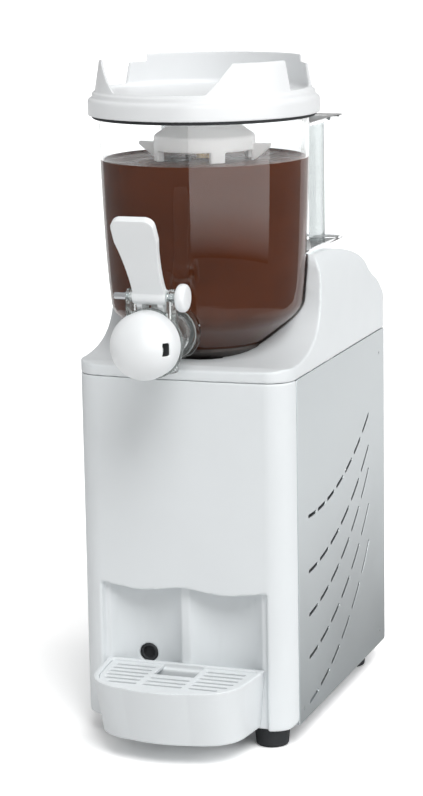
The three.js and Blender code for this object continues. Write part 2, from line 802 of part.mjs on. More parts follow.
function lidProfile() {
  const skirtTop = lidSkirtBottom + lidSkirtHeight;
  const land = bowlTop + gap;
  const skirtInner = lidRadius - lidWall;
  const crownInner = lidWall;
  return [
    [0, lidDeck - lidWall], [bowlTopRadius - 2 * bowlWall - lidWall, lidDeck - lidWall],
    [bowlTopRadius - 2 * bowlWall - lidWall, lidSkirtBottom], [bowlTopRadius - 2 * bowlWall, lidSkirtBottom],
    [bowlTopRadius - 2 * bowlWall, land], [skirtInner, land], [skirtInner, lidSkirtBottom],
    [lidRadius, lidSkirtBottom], [lidRadius, skirtTop - 2.5], [lidRadius - 0.8, skirtTop - 0.8],
    [lidRadius - 2.5, skirtTop], [lidStepRadius, skirtTop], [lidStepRadius, lidDeck - 1],
    [lidStepRadius - 1, lidDeck], [crownBaseRadius, lidDeck], [crownTopRadius, crownTop - 1],
    [crownTopRadius - 1, crownTop], [crownTopRadius - crownInner, crownTop],
    [crownBaseRadius - crownInner - 1, lidDeck - 1], [0, lidDeck - 1],
  ];
}

function lid() {
  const reach = crownBaseRadius + 2 * overrun;
  const low = Math.tan(THREE.MathUtils.degToRad(crownNotchBottomAngle)) * reach;
  const high = Math.tan(THREE.MathUtils.degToRad(crownNotchTopAngle)) * reach;
  const top = crownTop + overrun;
  const base = lidDeck + 2;
  const shape = new THREE.Shape();
  shape.moveTo(-high - overrun, top);
  shape.quadraticCurveTo(-low - overrun, crownTop - 4, -low, base);
  shape.lineTo(low, base);
  shape.quadraticCurveTo(low + overrun, crownTop - 4, high + overrun, top);
  shape.closePath();
  return turned(lidProfile(), bowlSegments).subtract(backwards(shape, -reach, 0, 4));
}

function lidSeal() {
  const inner = bowlTopRadius + gap;
  return tube(inner, lidSealOuter, lidSkirtBottom - lidSealHeight - gap, lidSkirtBottom - gap, bowlSegments)
    .add(tube(inner, lidRadius - lidWall - gap, lidSkirtBottom - 2 * gap, lidSkirtBottom + lidSealHeight, bowlSegments));
}

// The tap is drawn about its valve: origin on the valve's axis at the height of the barrel.
const flangeBack = tapReach - spigotReach - sealThickness - 2 * gap;

function tapSeal() {
  return forwards(tube(spigotBore, flangeRadius - 3, 0, sealThickness, midSegments))
    .translate([0, tapReach - spigotReach - gap, 0]);
}

function tapBody() {
  const barrelLength = flangeBack + frontReach;
  let body = forwards(disc(barrelRadius, 0, barrelLength, midSegments)).translate([0, flangeBack, 0]);
  body = body.add(forwards(disc(flangeRadius, 0, flangeThickness, midSegments)).translate([0, flangeBack, 0]));
  body = body.add(forwards(disc(frontDiscRadius, 0, frontDiscThickness, wideSegments))
    .translate([0, -frontReach + frontDiscThickness, 0]));
  body = body.add(forwards(disc(neckRadius, 0, neckLength + overrun, midSegments)).translate([0, -frontReach + overrun, 0]));
  body = body.add(disc(valveRadius, valveBottom, valveTop, midSegments));
  for (const side of [-1, 1]) {
    const across = [side * earInner, side * (earInner + earThickness)].sort((a, b) => a - b);
    const crown = new THREE.Shape();
    crown.moveTo(pinSetback + earHalfDepth, 0);
    crown.lineTo(pinSetback + earHalfDepth, pinHeight);
    crown.absarc(pinSetback, pinHeight, earHalfDepth, 0, Math.PI, false);
    crown.lineTo(pinSetback - earHalfDepth, 0);
    crown.closePath();
    body = body.add(sideways(crown, ...across, 8));
  }
  const bore = forwards(disc(spigotBore, -overrun, flangeBack, midSegments)).translate([0, flangeBack, 0]);
  const pinHole = rightwards(disc(pinRadius + pinClearance, -bodyWidth / 4, bodyWidth / 4, 20));
  return body.subtract(bore).subtract(disc(valveBore, valveBottom - overrun, valveTop + overrun, midSegments))
    .subtract(pinHole.translate([0, pinSetback, pinHeight]));
}

function tapCap() {
  const start = frontReach + gap;
  const end = start + capLength;
  const innerStart = neckRadius + gap;
  const rise = capLength - capSkirt;
  const dome = [];
  const hollow = [];
  const steps = 4;
  for (let i = 0; i <= steps; i += 1) {
    const angle = (i / steps) * (Math.PI / 2);
    dome.push([capRadius * Math.cos(angle), start + capSkirt + rise * Math.sin(angle)]);
    hollow.push([innerStart * Math.cos(angle), start + capSkirt + (rise - mouldWall) * Math.sin(angle)]);
  }
  dome[steps] = [0, end];
  hollow[steps] = [0, end - mouldWall];
  const shell = turned([...hollow].reverse().concat([[innerStart, start], [capRadius, start]], dome), wideSegments);
  const slots = block([-capRadius - overrun, capRadius + overrun], [-capSlotHeight / 2, capSlotHeight / 2],
    [start + capSkirt - capSlotWidth / 2, start + capSkirt + capSlotWidth / 2]);
  return forwards(shell.subtract(slots));
}

function tapPin() {
  return rightwards(disc(pinRadius, -pinLeft, pinRight, 20)).translate([0, pinSetback, pinHeight]);
}

function pinKnob() {
  const t = knobDiscThickness;
  const knob = turned([
    [0, 0], [knobDiscRadius * 0.7, 0], [knobDiscRadius, t * 0.3], [knobDiscRadius, t * 0.7],
    [knobDiscRadius * 0.7, t], [0, t],
  ], 28);
  return rightwards(knob.subtract(disc(pinRadius + gap, -overrun, t * 0.3 + gap, 20)))
    .translate([pinRight - t * 0.3, pinSetback, pinHeight]);
}

function tapLever() {
  const tip = leverTipHalfWidth;
  const waist = leverWaistHalfWidth;
  const paddle = new THREE.Shape();
  paddle.moveTo(-waist, 0);
  paddle.lineTo(waist, 0);
  paddle.quadraticCurveTo(waist, leverLength * 0.35, tip - 1.5, leverLength * 0.62);
  paddle.quadraticCurveTo(tip, leverLength * 0.75, tip, leverLength - leverTipRadius);
  paddle.absarc(tip - leverTipRadius, leverLength - leverTipRadius, leverTipRadius, 0, Math.PI / 2, false);
  paddle.absarc(-tip + leverTipRadius, leverLength - leverTipRadius, leverTipRadius, Math.PI / 2, Math.PI, false);
  paddle.quadraticCurveTo(-tip, leverLength * 0.75, -tip + 1.5, leverLength * 0.62);
  paddle.quadraticCurveTo(-waist, leverLength * 0.35, -waist, 0);
  const half = leverThickness / 2;
  let lever = backwards(paddle, -half, half, 6).rotate([leverLean, 0, 0]);
  lever = lever.add(rightwards(disc(leverHubRadius, -leverHubHalfWidth, leverHubHalfWidth, 28)));
  const toeTop = headBottom - gap - pinHeight;
  const toe = outline([
    [-toeLead, 0], [-toeLead, toeTop + 1], [-toeLead + 2.5, toeTop - toeHeight],
    [toeReach, toeTop - toeHeight], [toeReach, toeTop], [leverHubRadius - 1, toeTop], [leverHubRadius - 1, 0],
  ]);
  for (const side of [-1, 1]) {
    const across = [side * toeInner, side * (toeInner + toeThickness)].sort((a, b) => a - b);
    lever = lever.add(sideways(toe, ...across));
  }
  const hole = rightwards(disc(pinRadius + gap, -bodyWidth / 4, bodyWidth / 4, 20));
  return lever.subtract(hole).translate([0, pinSetback, pinHeight]);
}

const ringHeights = [0.15, 0.8].map((share) => plungerBottom + (plungerTop - plungerBottom) * share);

function tapPiston() {
  let body = disc(plungerRadius, plungerBottom, plungerTop, midSegments);
  body = body.add(disc(plungerStemRadius, plungerTop - overrun, headBottom + overrun, smallSegments));
  body = body.add(block([-headHalfWidth, headHalfWidth], [-headHalfDepth, headHalfDepth],
    [headBottom, headBottom + headHeight]));
  for (const height of ringHeights) {
    const groove = ringGroove + 2 * gap;
    body = body.subtract(tube(plungerRadius - groove, plungerRadius + overrun,
      height - ringSection / 2 - gap, height + ringSection / 2 + gap, midSegments));
  }
  return body;
}

function sealRing(height) {
  return tube(plungerRadius - ringGroove - gap, valveBore - gap, height - ringSection / 2, height + ringSection / 2, midSegments);
}

function tapGland() {
  return tube(plungerStemRadius + gap, valveBore - gap, valveTop - glandHeight, valveTop, midSegments);
}

// A compression spring as one round wire on a helix.
function tapSpring() {
  const low = plungerTop + gap + springWire / 2;
  const high = valveTop - glandHeight - gap - springWire / 2;
  const stepsPerTurn = 10;
  const points = [];
  for (let i = 0; i <= springTurns * stepsPerTurn; i += 1) {
    const angle = (i / stepsPerTurn) * 2 * Math.PI;
    const height = low + ((high - low) * i) / (springTurns * stepsPerTurn);
    points.push(new THREE.Vector3(springRadius * Math.cos(angle), springRadius * Math.sin(angle), height));
  }
  const sides = 6;
  const position = [];
  const index = [];
  const up = new THREE.Vector3(0, 0, 1);
  points.forEach((point) => {
    const outwards = new THREE.Vector3(point.x, point.y, 0).normalize();
    for (let s = 0; s < sides; s += 1) {
      const angle = (s / sides) * 2 * Math.PI;
      const around = outwards.clone().multiplyScalar((Math.cos(angle) * springWire) / 2)
        .addScaledVector(up, (Math.sin(angle) * springWire) / 2);
      position.push(...point.clone().add(around).toArray());
    }
  });
  for (let i = 0; i + 1 < points.length; i += 1) {
    for (let s = 0; s < sides; s += 1) {
      const [a, b] = [i * sides + s, i * sides + ((s + 1) % sides)];
      index.push(a, b, b + sides, a, b + sides, a + sides);
    }
  }
  const last = (points.length - 1) * sides;
  for (let s = 1; s + 1 < sides; s += 1) {
    index.push(0, s + 1, s, last, last + s, last + s + 1);
  }
  const pitch = (high - low) / springTurns;
  console.log(`tap spring: ${(pitch - springWire).toFixed(2)} mm between its turns`);
  const geometry = new THREE.BufferGeometry();
  geometry.setAttribute('position', new THREE.Float32BufferAttribute(position, 3));
  geometry.setIndex(index);
  return solid(geometry);
}

// Plan outline of the tray: straight back, drawn-in sides, round front corners, bowed front.
function trayOutline(inset) {
  const back = recessFace - gap - inset;
  const front = frontLine - trayReach + inset;
  const side = trayHalfWidth - inset;
  const near = side - traySideTaper;
  const radius = trayCorner - inset;
  const bow = trayBulge;
  const shape = new THREE.Shape();
  shape.moveTo(-side, back);
  shape.lineTo(-near, front + bow + radius);
  shape.quadraticCurveTo(-near + radius * 0.12, front + bow + radius * 0.12, -near + radius, front + bow);
  shape.quadraticCurveTo(0, front - bow, near - radius, front + bow);
  shape.quadraticCurveTo(near - radius * 0.12, front + bow + radius * 0.12, near, front + bow + radius);
  shape.lineTo(side, back);
  shape.closePath();
  return shape;
}

// Draws the lower end of a tray solid in, so that its walls have draft.
function drafted(body) {
  const back = recessFace - gap;
  return body.warp((v) => {
    const down = Math.max(0, (trayTop - v[2]) / (trayTop - trayBottom));
    v[0] *= 1 - trayNarrowingShare * down;
    v[1] = back + (v[1] - back) * (1 - trayDraftShare * down);
  });
}

function dripTray() {
  const outer = drafted(upwards(trayOutline(0), trayBottom, trayTop, 12));
  const well = drafted(upwards(trayOutline(trayRim), trayBottom + trayWall, trayTop + overrun, 12));
  const ledge = upwards(trayOutline(trayRim - grilleLedge), trayTop - grilleDrop - grilleThickness - gap,
    trayTop + overrun, 12);
  return outer.subtract(well).subtract(ledge);
}

function dripGrille() {
  const inset = trayRim - grilleLedge + gap;
  const top = trayTop - grilleDrop;
  let plate = upwards(trayOutline(inset), top - grilleThickness, top, 12);
  const back = recessFace - gap - inset;
  const inner = upwards(trayOutline(inset + grilleRib), top - 2 * grilleThickness, top + overrun, 8);
  const usable = 2 * (trayHalfWidth - inset - grilleRib);
  const length = usable / grilleColumns - grilleRib;
  let slots = null;
  for (let row = 0; row < grilleRows; row += 1) {
    for (let column = 0; column < grilleColumns; column += 1) {
      const x = (column - (grilleColumns - 1) / 2) * (length + grilleRib);
      const y = back - grilleRib - grilleSlotPitch * (row + 0.5);
      const slot = block([x - length / 2, x + length / 2], [y - grilleSlotWidth / 2, y + grilleSlotWidth / 2],
        [top - 2 * grilleThickness, top + overrun]);
      slots = slots ? slots.add(slot) : slot;
    }
  }
  const notch = block([-notchHalfWidth, notchHalfWidth], [back - notchDepth, back + overrun],
    [top - 2 * grilleThickness, top + overrun]);
  plate = plate.subtract(slots.intersect(inner)).subtract(notch);
  return plate;
}

function inletSocket() {
  const [w, h] = [inletWidth / 2, inletHeight / 2];
  const rim = 3;
  const shell = block([-w, w], [-inletDepth, rim / 2], [-h, h])
    .add(block([-w - rim, w + rim], [gap, gap + rim / 2], [-h - rim, h + rim]));
  const well = block([-w + rim, w - rim], [-inletDepth + rim, 2 * rim], [-h + rim, h - rim]);
  let socket = shell.subtract(well);
  for (const x of [-1, 0, 1]) {
    const z = x === 0 ? inletPinRise : -inletPinRise;
    const pin = block([x * inletPinPitch - inletPinWidth / 2, x * inletPinPitch + inletPinWidth / 2],
      [-inletDepth + rim / 2, -2 * rim], [z - inletPinHeight / 2, z + inletPinHeight / 2]);
    socket = socket.add(pin);
  }
  return socket.translate([inletOffset, backLine, controlHeight]);
}

function switchFrame() {
  const [w, h] = [switchWidth / 2, switchHeight / 2];
  const rim = 2;
  return block([-w, w], [-switchDepth, rim], [-h, h])
    .add(block([-w - rim, w + rim], [gap, rim], [-h - rim, h + rim]))
    .subtract(block([-w + rim, w - rim], [-switchDepth / 2, 2 * rim], [-h + rim / 2, h - rim / 2]))
    .translate([0, backLine, controlHeight]);
}

function switchRocker() {
  const half = switchWidth / 2 - 2 - gap;
  const tall = switchHeight / 2 - 1 - gap;
  const shape = outline([
    [-half + 1, -rockerThickness], [half - 1, -rockerThickness], [half, rockerThickness * 0.35],
    [0, rockerThickness * 0.05], [-half, rockerThickness * 0.35],
  ]);
  return upwards(shape, -tall, tall).rotate([0, 0, -rockerTilt])
    .translate([0, backLine + gap, controlHeight]);
}

function thermostatBody() {
  const half = thermostatWidth / 2;
  const back = backLine - sheetWall - gap;
  const can = block([-half, half], [back - thermostatDepth, back], [-half, half])
    .translate([knobOffset, 0, controlHeight]);
  const socket = forwards(disc(spindleRadius + gap, -overrun, thermostatDepth / 2 + gap, 20));
  return can.subtract(socket.translate([knobOffset, back, controlHeight]));
}

function thermostatKnob() {
  const grip = turned([
    [0, gap + 1], [knobRadius, gap + 1], [knobRadius, gap + 3], [knobRadius * 0.8, gap + 4],
    [knobRadius * 0.74, knobDepth], [0, knobDepth],
  ], midSegments);
  const pointer = block([-1.2, 1.2], [0, knobRadius * 0.7], [knobDepth - overrun, knobDepth + 1]);
  const spindle = disc(spindleRadius, -sheetWall - thermostatDepth / 2, 2, 20);
  return grip.add(pointer).add(spindle).rotate([-90, 0, 0]).translate([knobOffset, backLine, controlHeight]);
}

// Assembly
add(machine, 'front_casing', frontCasing(), whitePlastic);
add(machine, 'drain_grommet', drainGrommet(), blackRubber);
add(machine, 'side_panel_right', sidePanel(1), brushedSteel);
add(machine, 'side_panel_left', sidePanel(-1), brushedSteel);
add(machine, 'rear_panel', rearPanel(), brushedSteel);
add(machine, 'base_pan', basePan(), plainSteel);
add(machine, 'top_cover', topCover(), whitePlastic);
add(machine, 'inlet_socket', inletSocket(), blackPlastic);
add(machine, 'switch_frame', switchFrame(), blackPlastic);
add(machine, 'switch_rocker', switchRocker(), blackPlastic);
add(machine, 'thermostat_body', thermostatBody(), plainSteel);
add(machine, 'thermostat_knob', thermostatKnob(), blackPlastic);

for (const [end, y] of [['front', frontLine + footFrontInset], ['rear', backLine - footRearInset]]) {
  for (const [hand, side] of [['left', -1], ['right', 1]]) {
    const rubber = add(machine, `foot_${end}_${hand}`, foot(), blackRubber);
    rubber.position.set(side * (halfWidth - footInset), y, 0);
  }
}

const tray = new THREE.Group();
add(tray, 'drip_tray', dripTray(), whitePlastic);
add(tray, 'drip_grille', dripGrille(), whitePlastic);
machine.add(tray);

const bowlGroup = new THREE.Group();
bowlGroup.position.y = bowlAxis;
add(bowlGroup, 'bowl', bowl(), clearPlastic);
add(bowlGroup, 'bowl_handle', bowlHandle(), clearPlastic);
add(bowlGroup, 'heater_dish', heaterDish(), darkMetal);
add(bowlGroup, 'heater_element', heaterElement(), plainSteel);
add(bowlGroup, 'drive_shaft', driveShaft(), plainSteel);
add(bowlGroup, 'stem_bush', tube(shaftRadius + gap, stemBore - gap, stemTop - 4 * hubWall, stemTop, 28), brassMetal);
add(bowlGroup, 'stirrer', stirrer(), whiteNylon);
add(bowlGroup, 'gearbox', gearbox(), plainSteel);
add(bowlGroup, 'motor', motor(), plainSteel);
add(bowlGroup, 'motor_bracket', motorBracket(), plainSteel);
add(bowlGroup, 'lid', lid(), lidPlastic);
add(bowlGroup, 'lid_seal', lidSeal(), blackRubber);
machine.add(bowlGroup);

const tap = new THREE.Group();
tap.position.set(0, valveAxis, tapHeight);
add(tap, 'tap_seal', tapSeal(), blackRubber);
add(tap, 'tap_body', tapBody(), clearPlastic);
add(tap, 'tap_cap', tapCap(), whitePlastic);
add(tap, 'tap_lever', tapLever(), whitePlastic);
add(tap, 'tap_pin', tapPin(), plainSteel);
add(tap, 'pin_knob', pinKnob(), whitePlastic);
add(tap, 'tap_piston', tapPiston(), whiteNylon);
add(tap, 'piston_ring_lower', sealRing(ringHeights[0]), blackRubber);
add(tap, 'piston_ring_upper', sealRing(ringHeights[1]), blackRubber);
add(tap, 'tap_gland', tapGland(), whiteNylon);
add(tap, 'tap_spring', tapSpring(), plainSteel);
machine.add(tap);

// The origin lies under the middle of the whole machine, on the table.
const centre = new THREE.Box3().setFromObject(machine).getCenter(new THREE.Vector3());
machine.position.y = -centre.y;
machine.updateMatrixWorld(true);

export default machine;
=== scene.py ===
# Looks of a countertop hot chocolate dispenser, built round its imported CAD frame.
# Sizes and places are in millimetres, and every mesh is brought to metres when it is dressed.
import contextlib
import math

import bmesh
import bpy
from mathutils import Matrix, Vector


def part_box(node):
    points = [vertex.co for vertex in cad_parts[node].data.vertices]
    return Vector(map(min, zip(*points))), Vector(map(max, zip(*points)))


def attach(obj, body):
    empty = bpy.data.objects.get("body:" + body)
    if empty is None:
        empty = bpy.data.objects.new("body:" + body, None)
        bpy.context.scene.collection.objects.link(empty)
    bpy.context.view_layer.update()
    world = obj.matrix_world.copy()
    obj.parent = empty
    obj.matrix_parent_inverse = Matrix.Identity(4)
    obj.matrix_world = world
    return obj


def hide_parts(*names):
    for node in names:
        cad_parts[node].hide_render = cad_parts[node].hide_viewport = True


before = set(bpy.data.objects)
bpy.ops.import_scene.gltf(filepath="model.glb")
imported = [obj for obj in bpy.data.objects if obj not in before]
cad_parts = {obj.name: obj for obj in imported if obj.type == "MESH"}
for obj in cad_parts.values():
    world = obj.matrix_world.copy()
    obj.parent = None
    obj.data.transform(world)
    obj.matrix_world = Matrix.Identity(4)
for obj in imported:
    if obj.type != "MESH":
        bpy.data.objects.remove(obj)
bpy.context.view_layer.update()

MM = 0.001
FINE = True


def box_mm(node):
    """Lowest and highest corners of a CAD node in millimetres."""
    low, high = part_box(node)
    return Vector(low) / MM, Vector(high) / MM


# Camera, fitted to the photograph
CAMERA_TARGET = Vector((-18.26, 28.5, 290.58))
CAMERA_DISTANCE = 2271.72
CAMERA_AZIMUTH = 19.91
CAMERA_ELEVATION = 11.48
CAMERA_ROLL = 1.0
CAMERA_LENS = 110.8


def heading(azimuth, elevation):
    """Where something stands as seen from the object: azimuth 0 is the front and 90 the right."""
    a, e = math.radians(azimuth), math.radians(elevation)
    return Vector((math.sin(a) * math.cos(e), -math.cos(a) * math.cos(e), math.sin(e)))


def add_camera():
    azimuth, roll = math.radians(CAMERA_AZIMUTH), math.radians(CAMERA_ROLL)
    back = heading(CAMERA_AZIMUTH, CAMERA_ELEVATION)
    level = Vector((math.cos(azimuth), math.sin(azimuth), 0))
    upright = back.cross(level)
    right = level * math.cos(roll) - upright * math.sin(roll)
    up = upright * math.cos(roll) + level * math.sin(roll)
    data = bpy.data.cameras.new("camera")
    data.sensor_width = 36
    data.lens = CAMERA_LENS
    camera = new_object("camera", data)
    turn = Matrix((right, up, back)).transposed().to_4x4()
    camera.matrix_world = Matrix.Translation((CAMERA_TARGET + back * CAMERA_DISTANCE) * MM) @ turn
    bpy.context.scene.camera = camera


# Sizes shared with the frame
BODY_DEPTH = 302
CORNER = 25
FRONT_BULGE = 3
FOOT_HEIGHT = 20
WALL = 3
SHEET = 1.5
GAP = 0.3
OVERRUN = 2
ROUND = 160
HALF_WIDTH, BACK_LINE, SEAM = box_mm("side_panel_right")[1]
FRONT_LINE = BACK_LINE - BODY_DEPTH
PANEL_FRONT = FRONT_LINE + CORNER
BOWL_Y = sum(box[1] for box in box_mm("lid")) / 2
VALVE_Y = sum(box[1] for box in box_mm("piston_ring_lower")) / 2
PIN_Y = sum(box[1] for box in box_mm("tap_pin")) / 2
PIN_Z = sum(box[2] for box in box_mm("tap_pin")) / 2
TAP_Z = PIN_Z - 39


# Outlines
def arc(centre, radius, start, end, steps=16):
    """Points on a circle from one angle to another, in degrees."""
    return [(centre[0] + radius * math.cos(math.radians(start + (end - start) * i / steps)),
             centre[1] + radius * math.sin(math.radians(start + (end - start) * i / steps)))
            for i in range(steps + 1)]


def bend(start, control, end, steps=16):
    """Points on a quadratic curve."""
    points = []
    for i in range(steps + 1):
        t = i / steps
        points.append(tuple((1 - t) ** 2 * a + 2 * t * (1 - t) * c + t * t * b
                            for a, c, b in zip(start, control, end)))
    return points


def spline(knots, steps=12):
    """Points on a smooth curve through all knots."""
    padded = [knots[0], *knots, knots[-1]]
    points = []
    for a, b, c, d in zip(padded, padded[1:], padded[2:], padded[3:]):
        for i in range(steps):
            t = i / steps
            points.append(tuple(
                0.5 * (2 * q + (r - p) * t + (2 * p - 5 * q + 4 * r - s) * t * t
                       + (3 * q - p - 3 * r + s) * t ** 3)
                for p, q, r, s in zip(a, b, c, d)))
    points.append(tuple(knots[-1]))
    return points


def offset(points, distance):
    """Moves an open outline to its left, seen along its way."""
    moved = []
    for i, point in enumerate(points):
        before, after = points[max(i - 1, 0)], points[min(i + 1, len(points) - 1)]
        along = Vector((after[0] - before[0], after[1] - before[1])).normalized()
        moved.append((point[0] - along.y * distance, point[1] + along.x * distance))
    return moved


def rounded(points, radius):
    """Rounds each corner of a closed outline."""
    outline = []
    for i, point in enumerate(points):
        corner = Vector(point)
        before, after = Vector(points[i - 1]), Vector(points[(i + 1) % len(points)])
        start = corner + (before - corner).normalized() * radius
        end = corner + (after - corner).normalized() * radius
        outline += bend(start, corner, end, 5)
    return outline


def rectangle(left, right, low, high):
    return [(left, low), (right, low), (right, high), (left, high)]


def slot_hole(left, right, middle, width):
    """A long hole with round ends."""
    return rounded(rectangle(left, right, middle - width / 2, middle + width / 2), width / 2 - 0.1)


def below(points, height):
    return [(r, z) for r, z in points if z < height]


def mirrored(half):
    """The right half of an outline and, on the way back, its mirror image."""
    return [*half, *[(-a, b) for a, b in reversed(half)]]


# Solids
def new_object(name, data):
    piece = bpy.data.objects.new(name, data)
    bpy.context.scene.collection.objects.link(piece)
    return piece


@contextlib.contextmanager
def reworking(mesh):
    """Opens a mesh for changes and writes them back."""
    work = bmesh.new()
    work.from_mesh(mesh)
    yield work
    work.to_mesh(mesh)
    work.free()


def from_points(points, faces):
    mesh = bpy.data.meshes.new("piece")
    mesh.from_pydata(points, [], faces)
    with reworking(mesh) as work:
        bmesh.ops.recalc_face_normals(work, faces=work.faces)
    return new_object("piece", mesh)


PLACED = {
    "up": lambda a, b, h: (a, b, h),
    "side": lambda a, b, h: (h, a, b),
    "back": lambda a, b, h: (a, h, b),
}


def prism(outline, low, high, way="up"):
    """Extrudes an outline: up from (x, y), to the side from (y, z) or to the back from (x, z)."""
    place = PLACED[way]
    count = len(outline)
    points = [place(a, b, h) for h in (low, high) for a, b in outline]
    faces = [tuple(range(count)), tuple(range(2 * count - 1, count - 1, -1))]
    faces += [(i, (i + 1) % count, (i + 1) % count + count, i + count) for i in range(count)]
    return from_points(points, faces)


def box(xs, ys, zs):
    return prism(rectangle(*xs, *ys), *zs)


AXES = {
    "up": lambda x, y, h: (x, y, h),
    "front": lambda x, y, h: (x, -h, y),
    "right": lambda x, y, h: (h, x, y),
}


def lathe(profile, centre=(0, 0, 0), axis="up", segments=96):
    """Turns (radius, height) points about an axis. They start and end on it, or close on themselves."""
    turn = AXES[axis]
    points, rings = [], []
    for radius, height in profile:
        around = segments if radius else 1
        rings.append([len(points) + k % around for k in range(segments)])
        for k in range(around):
            angle = 2 * math.pi * k / segments
            points.append(turn(radius * math.cos(angle), radius * math.sin(angle), height))
    if profile[0][0] or profile[-1][0]:
        rings.append(rings[0])
    faces = []
    for lower, upper in zip(rings, rings[1:]):
        for k in range(segments):
            n = (k + 1) % segments
            face = list(dict.fromkeys((lower[k], lower[n], upper[n], upper[k])))
            if len(face) > 2:
                faces.append(face)
    return turned(from_points(points, faces), Matrix.Translation(centre))


def drum(radius, low, high, centre=(0, 0, 0), axis="up", segments=96):
    return lathe([(0, low), (radius, low), (radius, high), (0, high)], centre, axis, segments)


def ring(inner, outer, low, high, axis="up"):
    return lathe([(inner, low), (outer, low), (outer, high), (inner, high)], axis=axis)


def turned(piece, matrix):
    piece.data.transform(matrix)
    return piece


def spin(degrees, axis="Z"):
    return Matrix.Rotation(math.radians(degrees), 4, axis)


def as_mesh(piece):
    """What a curve or a piece with modifiers looks like, as a new mesh."""
    graph = bpy.context.evaluated_depsgraph_get()
    return bpy.data.meshes.new_from_object(piece.evaluated_get(graph))


def settle(piece):
    """Keeps what the modifiers make as the piece's own mesh."""
    mesh = as_mesh(piece)
    piece.modifiers.clear()
    piece.data = mesh
    return piece


def combine(body, operation, *tools):
    for tool in tools:
        step = body.modifiers.new("join", "BOOLEAN")
        step.operation = operation
        step.solver = "MANIFOLD"
        step.object = tool
    settle(body)
    for tool in tools:
        bpy.data.objects.remove(tool)
    return body


def join(body, *tools):
    return combine(body, "UNION", *tools)


def cut(body, *tools):
    return combine(body, "DIFFERENCE", *tools)


def keep(body, *tools):
    return combine(body, "INTERSECT", *tools)


def soften(piece, voxel, passes, share):
    """Gives a solid the small round edges of a moulding, and keeps a share of its faces."""
    skin = piece.modifiers.new("skin", "REMESH")
    skin.mode = "VOXEL"
    skin.voxel_size = voxel if FINE else 2 * voxel
    ease = piece.modifiers.new("ease", "SMOOTH")
    ease.factor = 0.5
    ease.iterations = passes
    fewer = piece.modifiers.new("fewer", "DECIMATE")
    fewer.ratio = share
    return settle(piece)


EDGE_ANGLE = 35


def bevelled(piece, width, segments=2):
    edge = piece.modifiers.new("edges", "BEVEL")
    edge.width = width
    edge.segments = segments
    edge.limit_method = "ANGLE"
    edge.angle_limit = math.radians(EDGE_ANGLE)
    edge.use_clamp_overlap = True
    return settle(piece)


def dress(piece, name, body, material, stands_for=(), sharp=EDGE_ANGLE):
    """Shades a finished piece smooth but for sharp edges, names it and ties it to its body, in metres."""
    with reworking(piece.data) as work:
        for face in work.faces:
            face.smooth = True
        for edge in work.edges:
            edge.smooth = len(edge.link_faces) == 2 and edge.calc_face_angle(math.pi) < math.radians(sharp)
    piece.name = name
    piece.data.name = name
    piece.data.transform(Matrix.Scale(MM, 4))
    piece.data.materials.clear()
    piece.data.materials.append(material)
    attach(piece, body)
    if stands_for:
        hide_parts(*stands_for)
    return piece


# Materials
class Paint:
    """Nodes of a material or of the world. An input takes a plain value or another node's output."""

    def __init__(self, owner, shader="Principled BSDF"):
        owner.use_nodes = True
        self.owner = owner
        self.nodes = owner.node_tree.nodes
        self.links = owner.node_tree.links
        self.shader = self.nodes[shader]

    def feed(self, node, inputs):
        for name, value in inputs.items():
            if isinstance(value, bpy.types.NodeSocket):
                self.links.new(value, node.inputs[name])
            else:
                node.inputs[name].default_value = value
        return node

    def coat(self, inputs):
        """Feeds the shader itself."""
        self.feed(self.shader, inputs)

    def add(self, kind, inputs=None, **settings):
        node = self.nodes.new("ShaderNode" + kind)
        for name, value in settings.items():
            setattr(node, name, value)
        return self.feed(node, inputs or {})

    def math(self, operation, *values):
        return self.add("Math", dict(enumerate(values)), operation=operation).outputs[0]

    def noise(self, scale, detail, stretch=None, roughness=0.5):
        """Noise over the object's own coordinates, with features of about 1/scale metres."""
        source = self.add("TexCoord").outputs["Object"]
        if stretch:
            source = self.add("Mapping", {"Vector": source, "Scale": stretch}).outputs["Vector"]
        inputs = {"Vector": source, "Scale": scale, "Detail": detail, "Roughness": roughness}
        return self.add("TexNoise", inputs).outputs["Fac"]

    def along(self, axis):
        """Place along an axis of the object's own coordinates, in metres."""
        where = self.add("TexCoord").outputs["Object"]
        return self.add("SeparateXYZ", {"Vector": where}).outputs[axis]

    def ramp(self, source, low, high, low_at=0.3, high_at=0.7):
        """Turns a number into colours between two ends."""
        band = self.add("ValToRGB", {"Fac": source})
        for element, place, colour in zip(band.color_ramp.elements, (low_at, high_at), (low, high)):
            element.position = place
            element.color = (*colour, 1)
        return band.outputs["Color"]

    def spread(self, source, low, high):
        """Turns a noise into numbers between two ends."""
        inputs = {"Value": source, "From Min": 0.3, "From Max": 0.7, "To Min": low, "To Max": high}
        return self.add("MapRange", inputs).outputs["Result"]

    def bump(self, source, depth, strength=1.0):
        relief = self.add("Bump", {"Height": source, "Distance": depth, "Strength": strength})
        self.coat({"Normal": relief.outputs["Normal"]})

    def seeing(self):
        """One for camera rays, also through clear plastic, and nought for the rays that light the object."""
        path = self.add("LightPath").outputs
        return self.math("MAXIMUM", path["Is Camera Ray"], path["Is Transmission Ray"])


def new_paint(name):
    return Paint(bpy.data.materials.new(name))


def tones(colour, share):
    return [c * (1 - share) for c in colour], [min(1.0, c * (1 + share)) for c in colour]


def plastic(name, colour, roughness=(0.32, 0.4), grain=2500, depth=0.00002, subsurface=0.0,
            variation=0.015):
    """Moulded plastic: faint cloudiness, uneven gloss and a fine skin texture."""
    paint = new_paint(name)
    paint.coat({
        "Base Color": paint.ramp(paint.noise(14, 3), *tones(colour, variation)),
        "Roughness": paint.spread(paint.noise(45, 4), *roughness),
        "IOR": 1.48,
    })
    if subsurface:
        paint.coat({"Subsurface Weight": subsurface, "Subsurface Radius": (0.004, 0.004, 0.004)})
    paint.bump(paint.noise(grain, 2), depth)
    return paint.owner


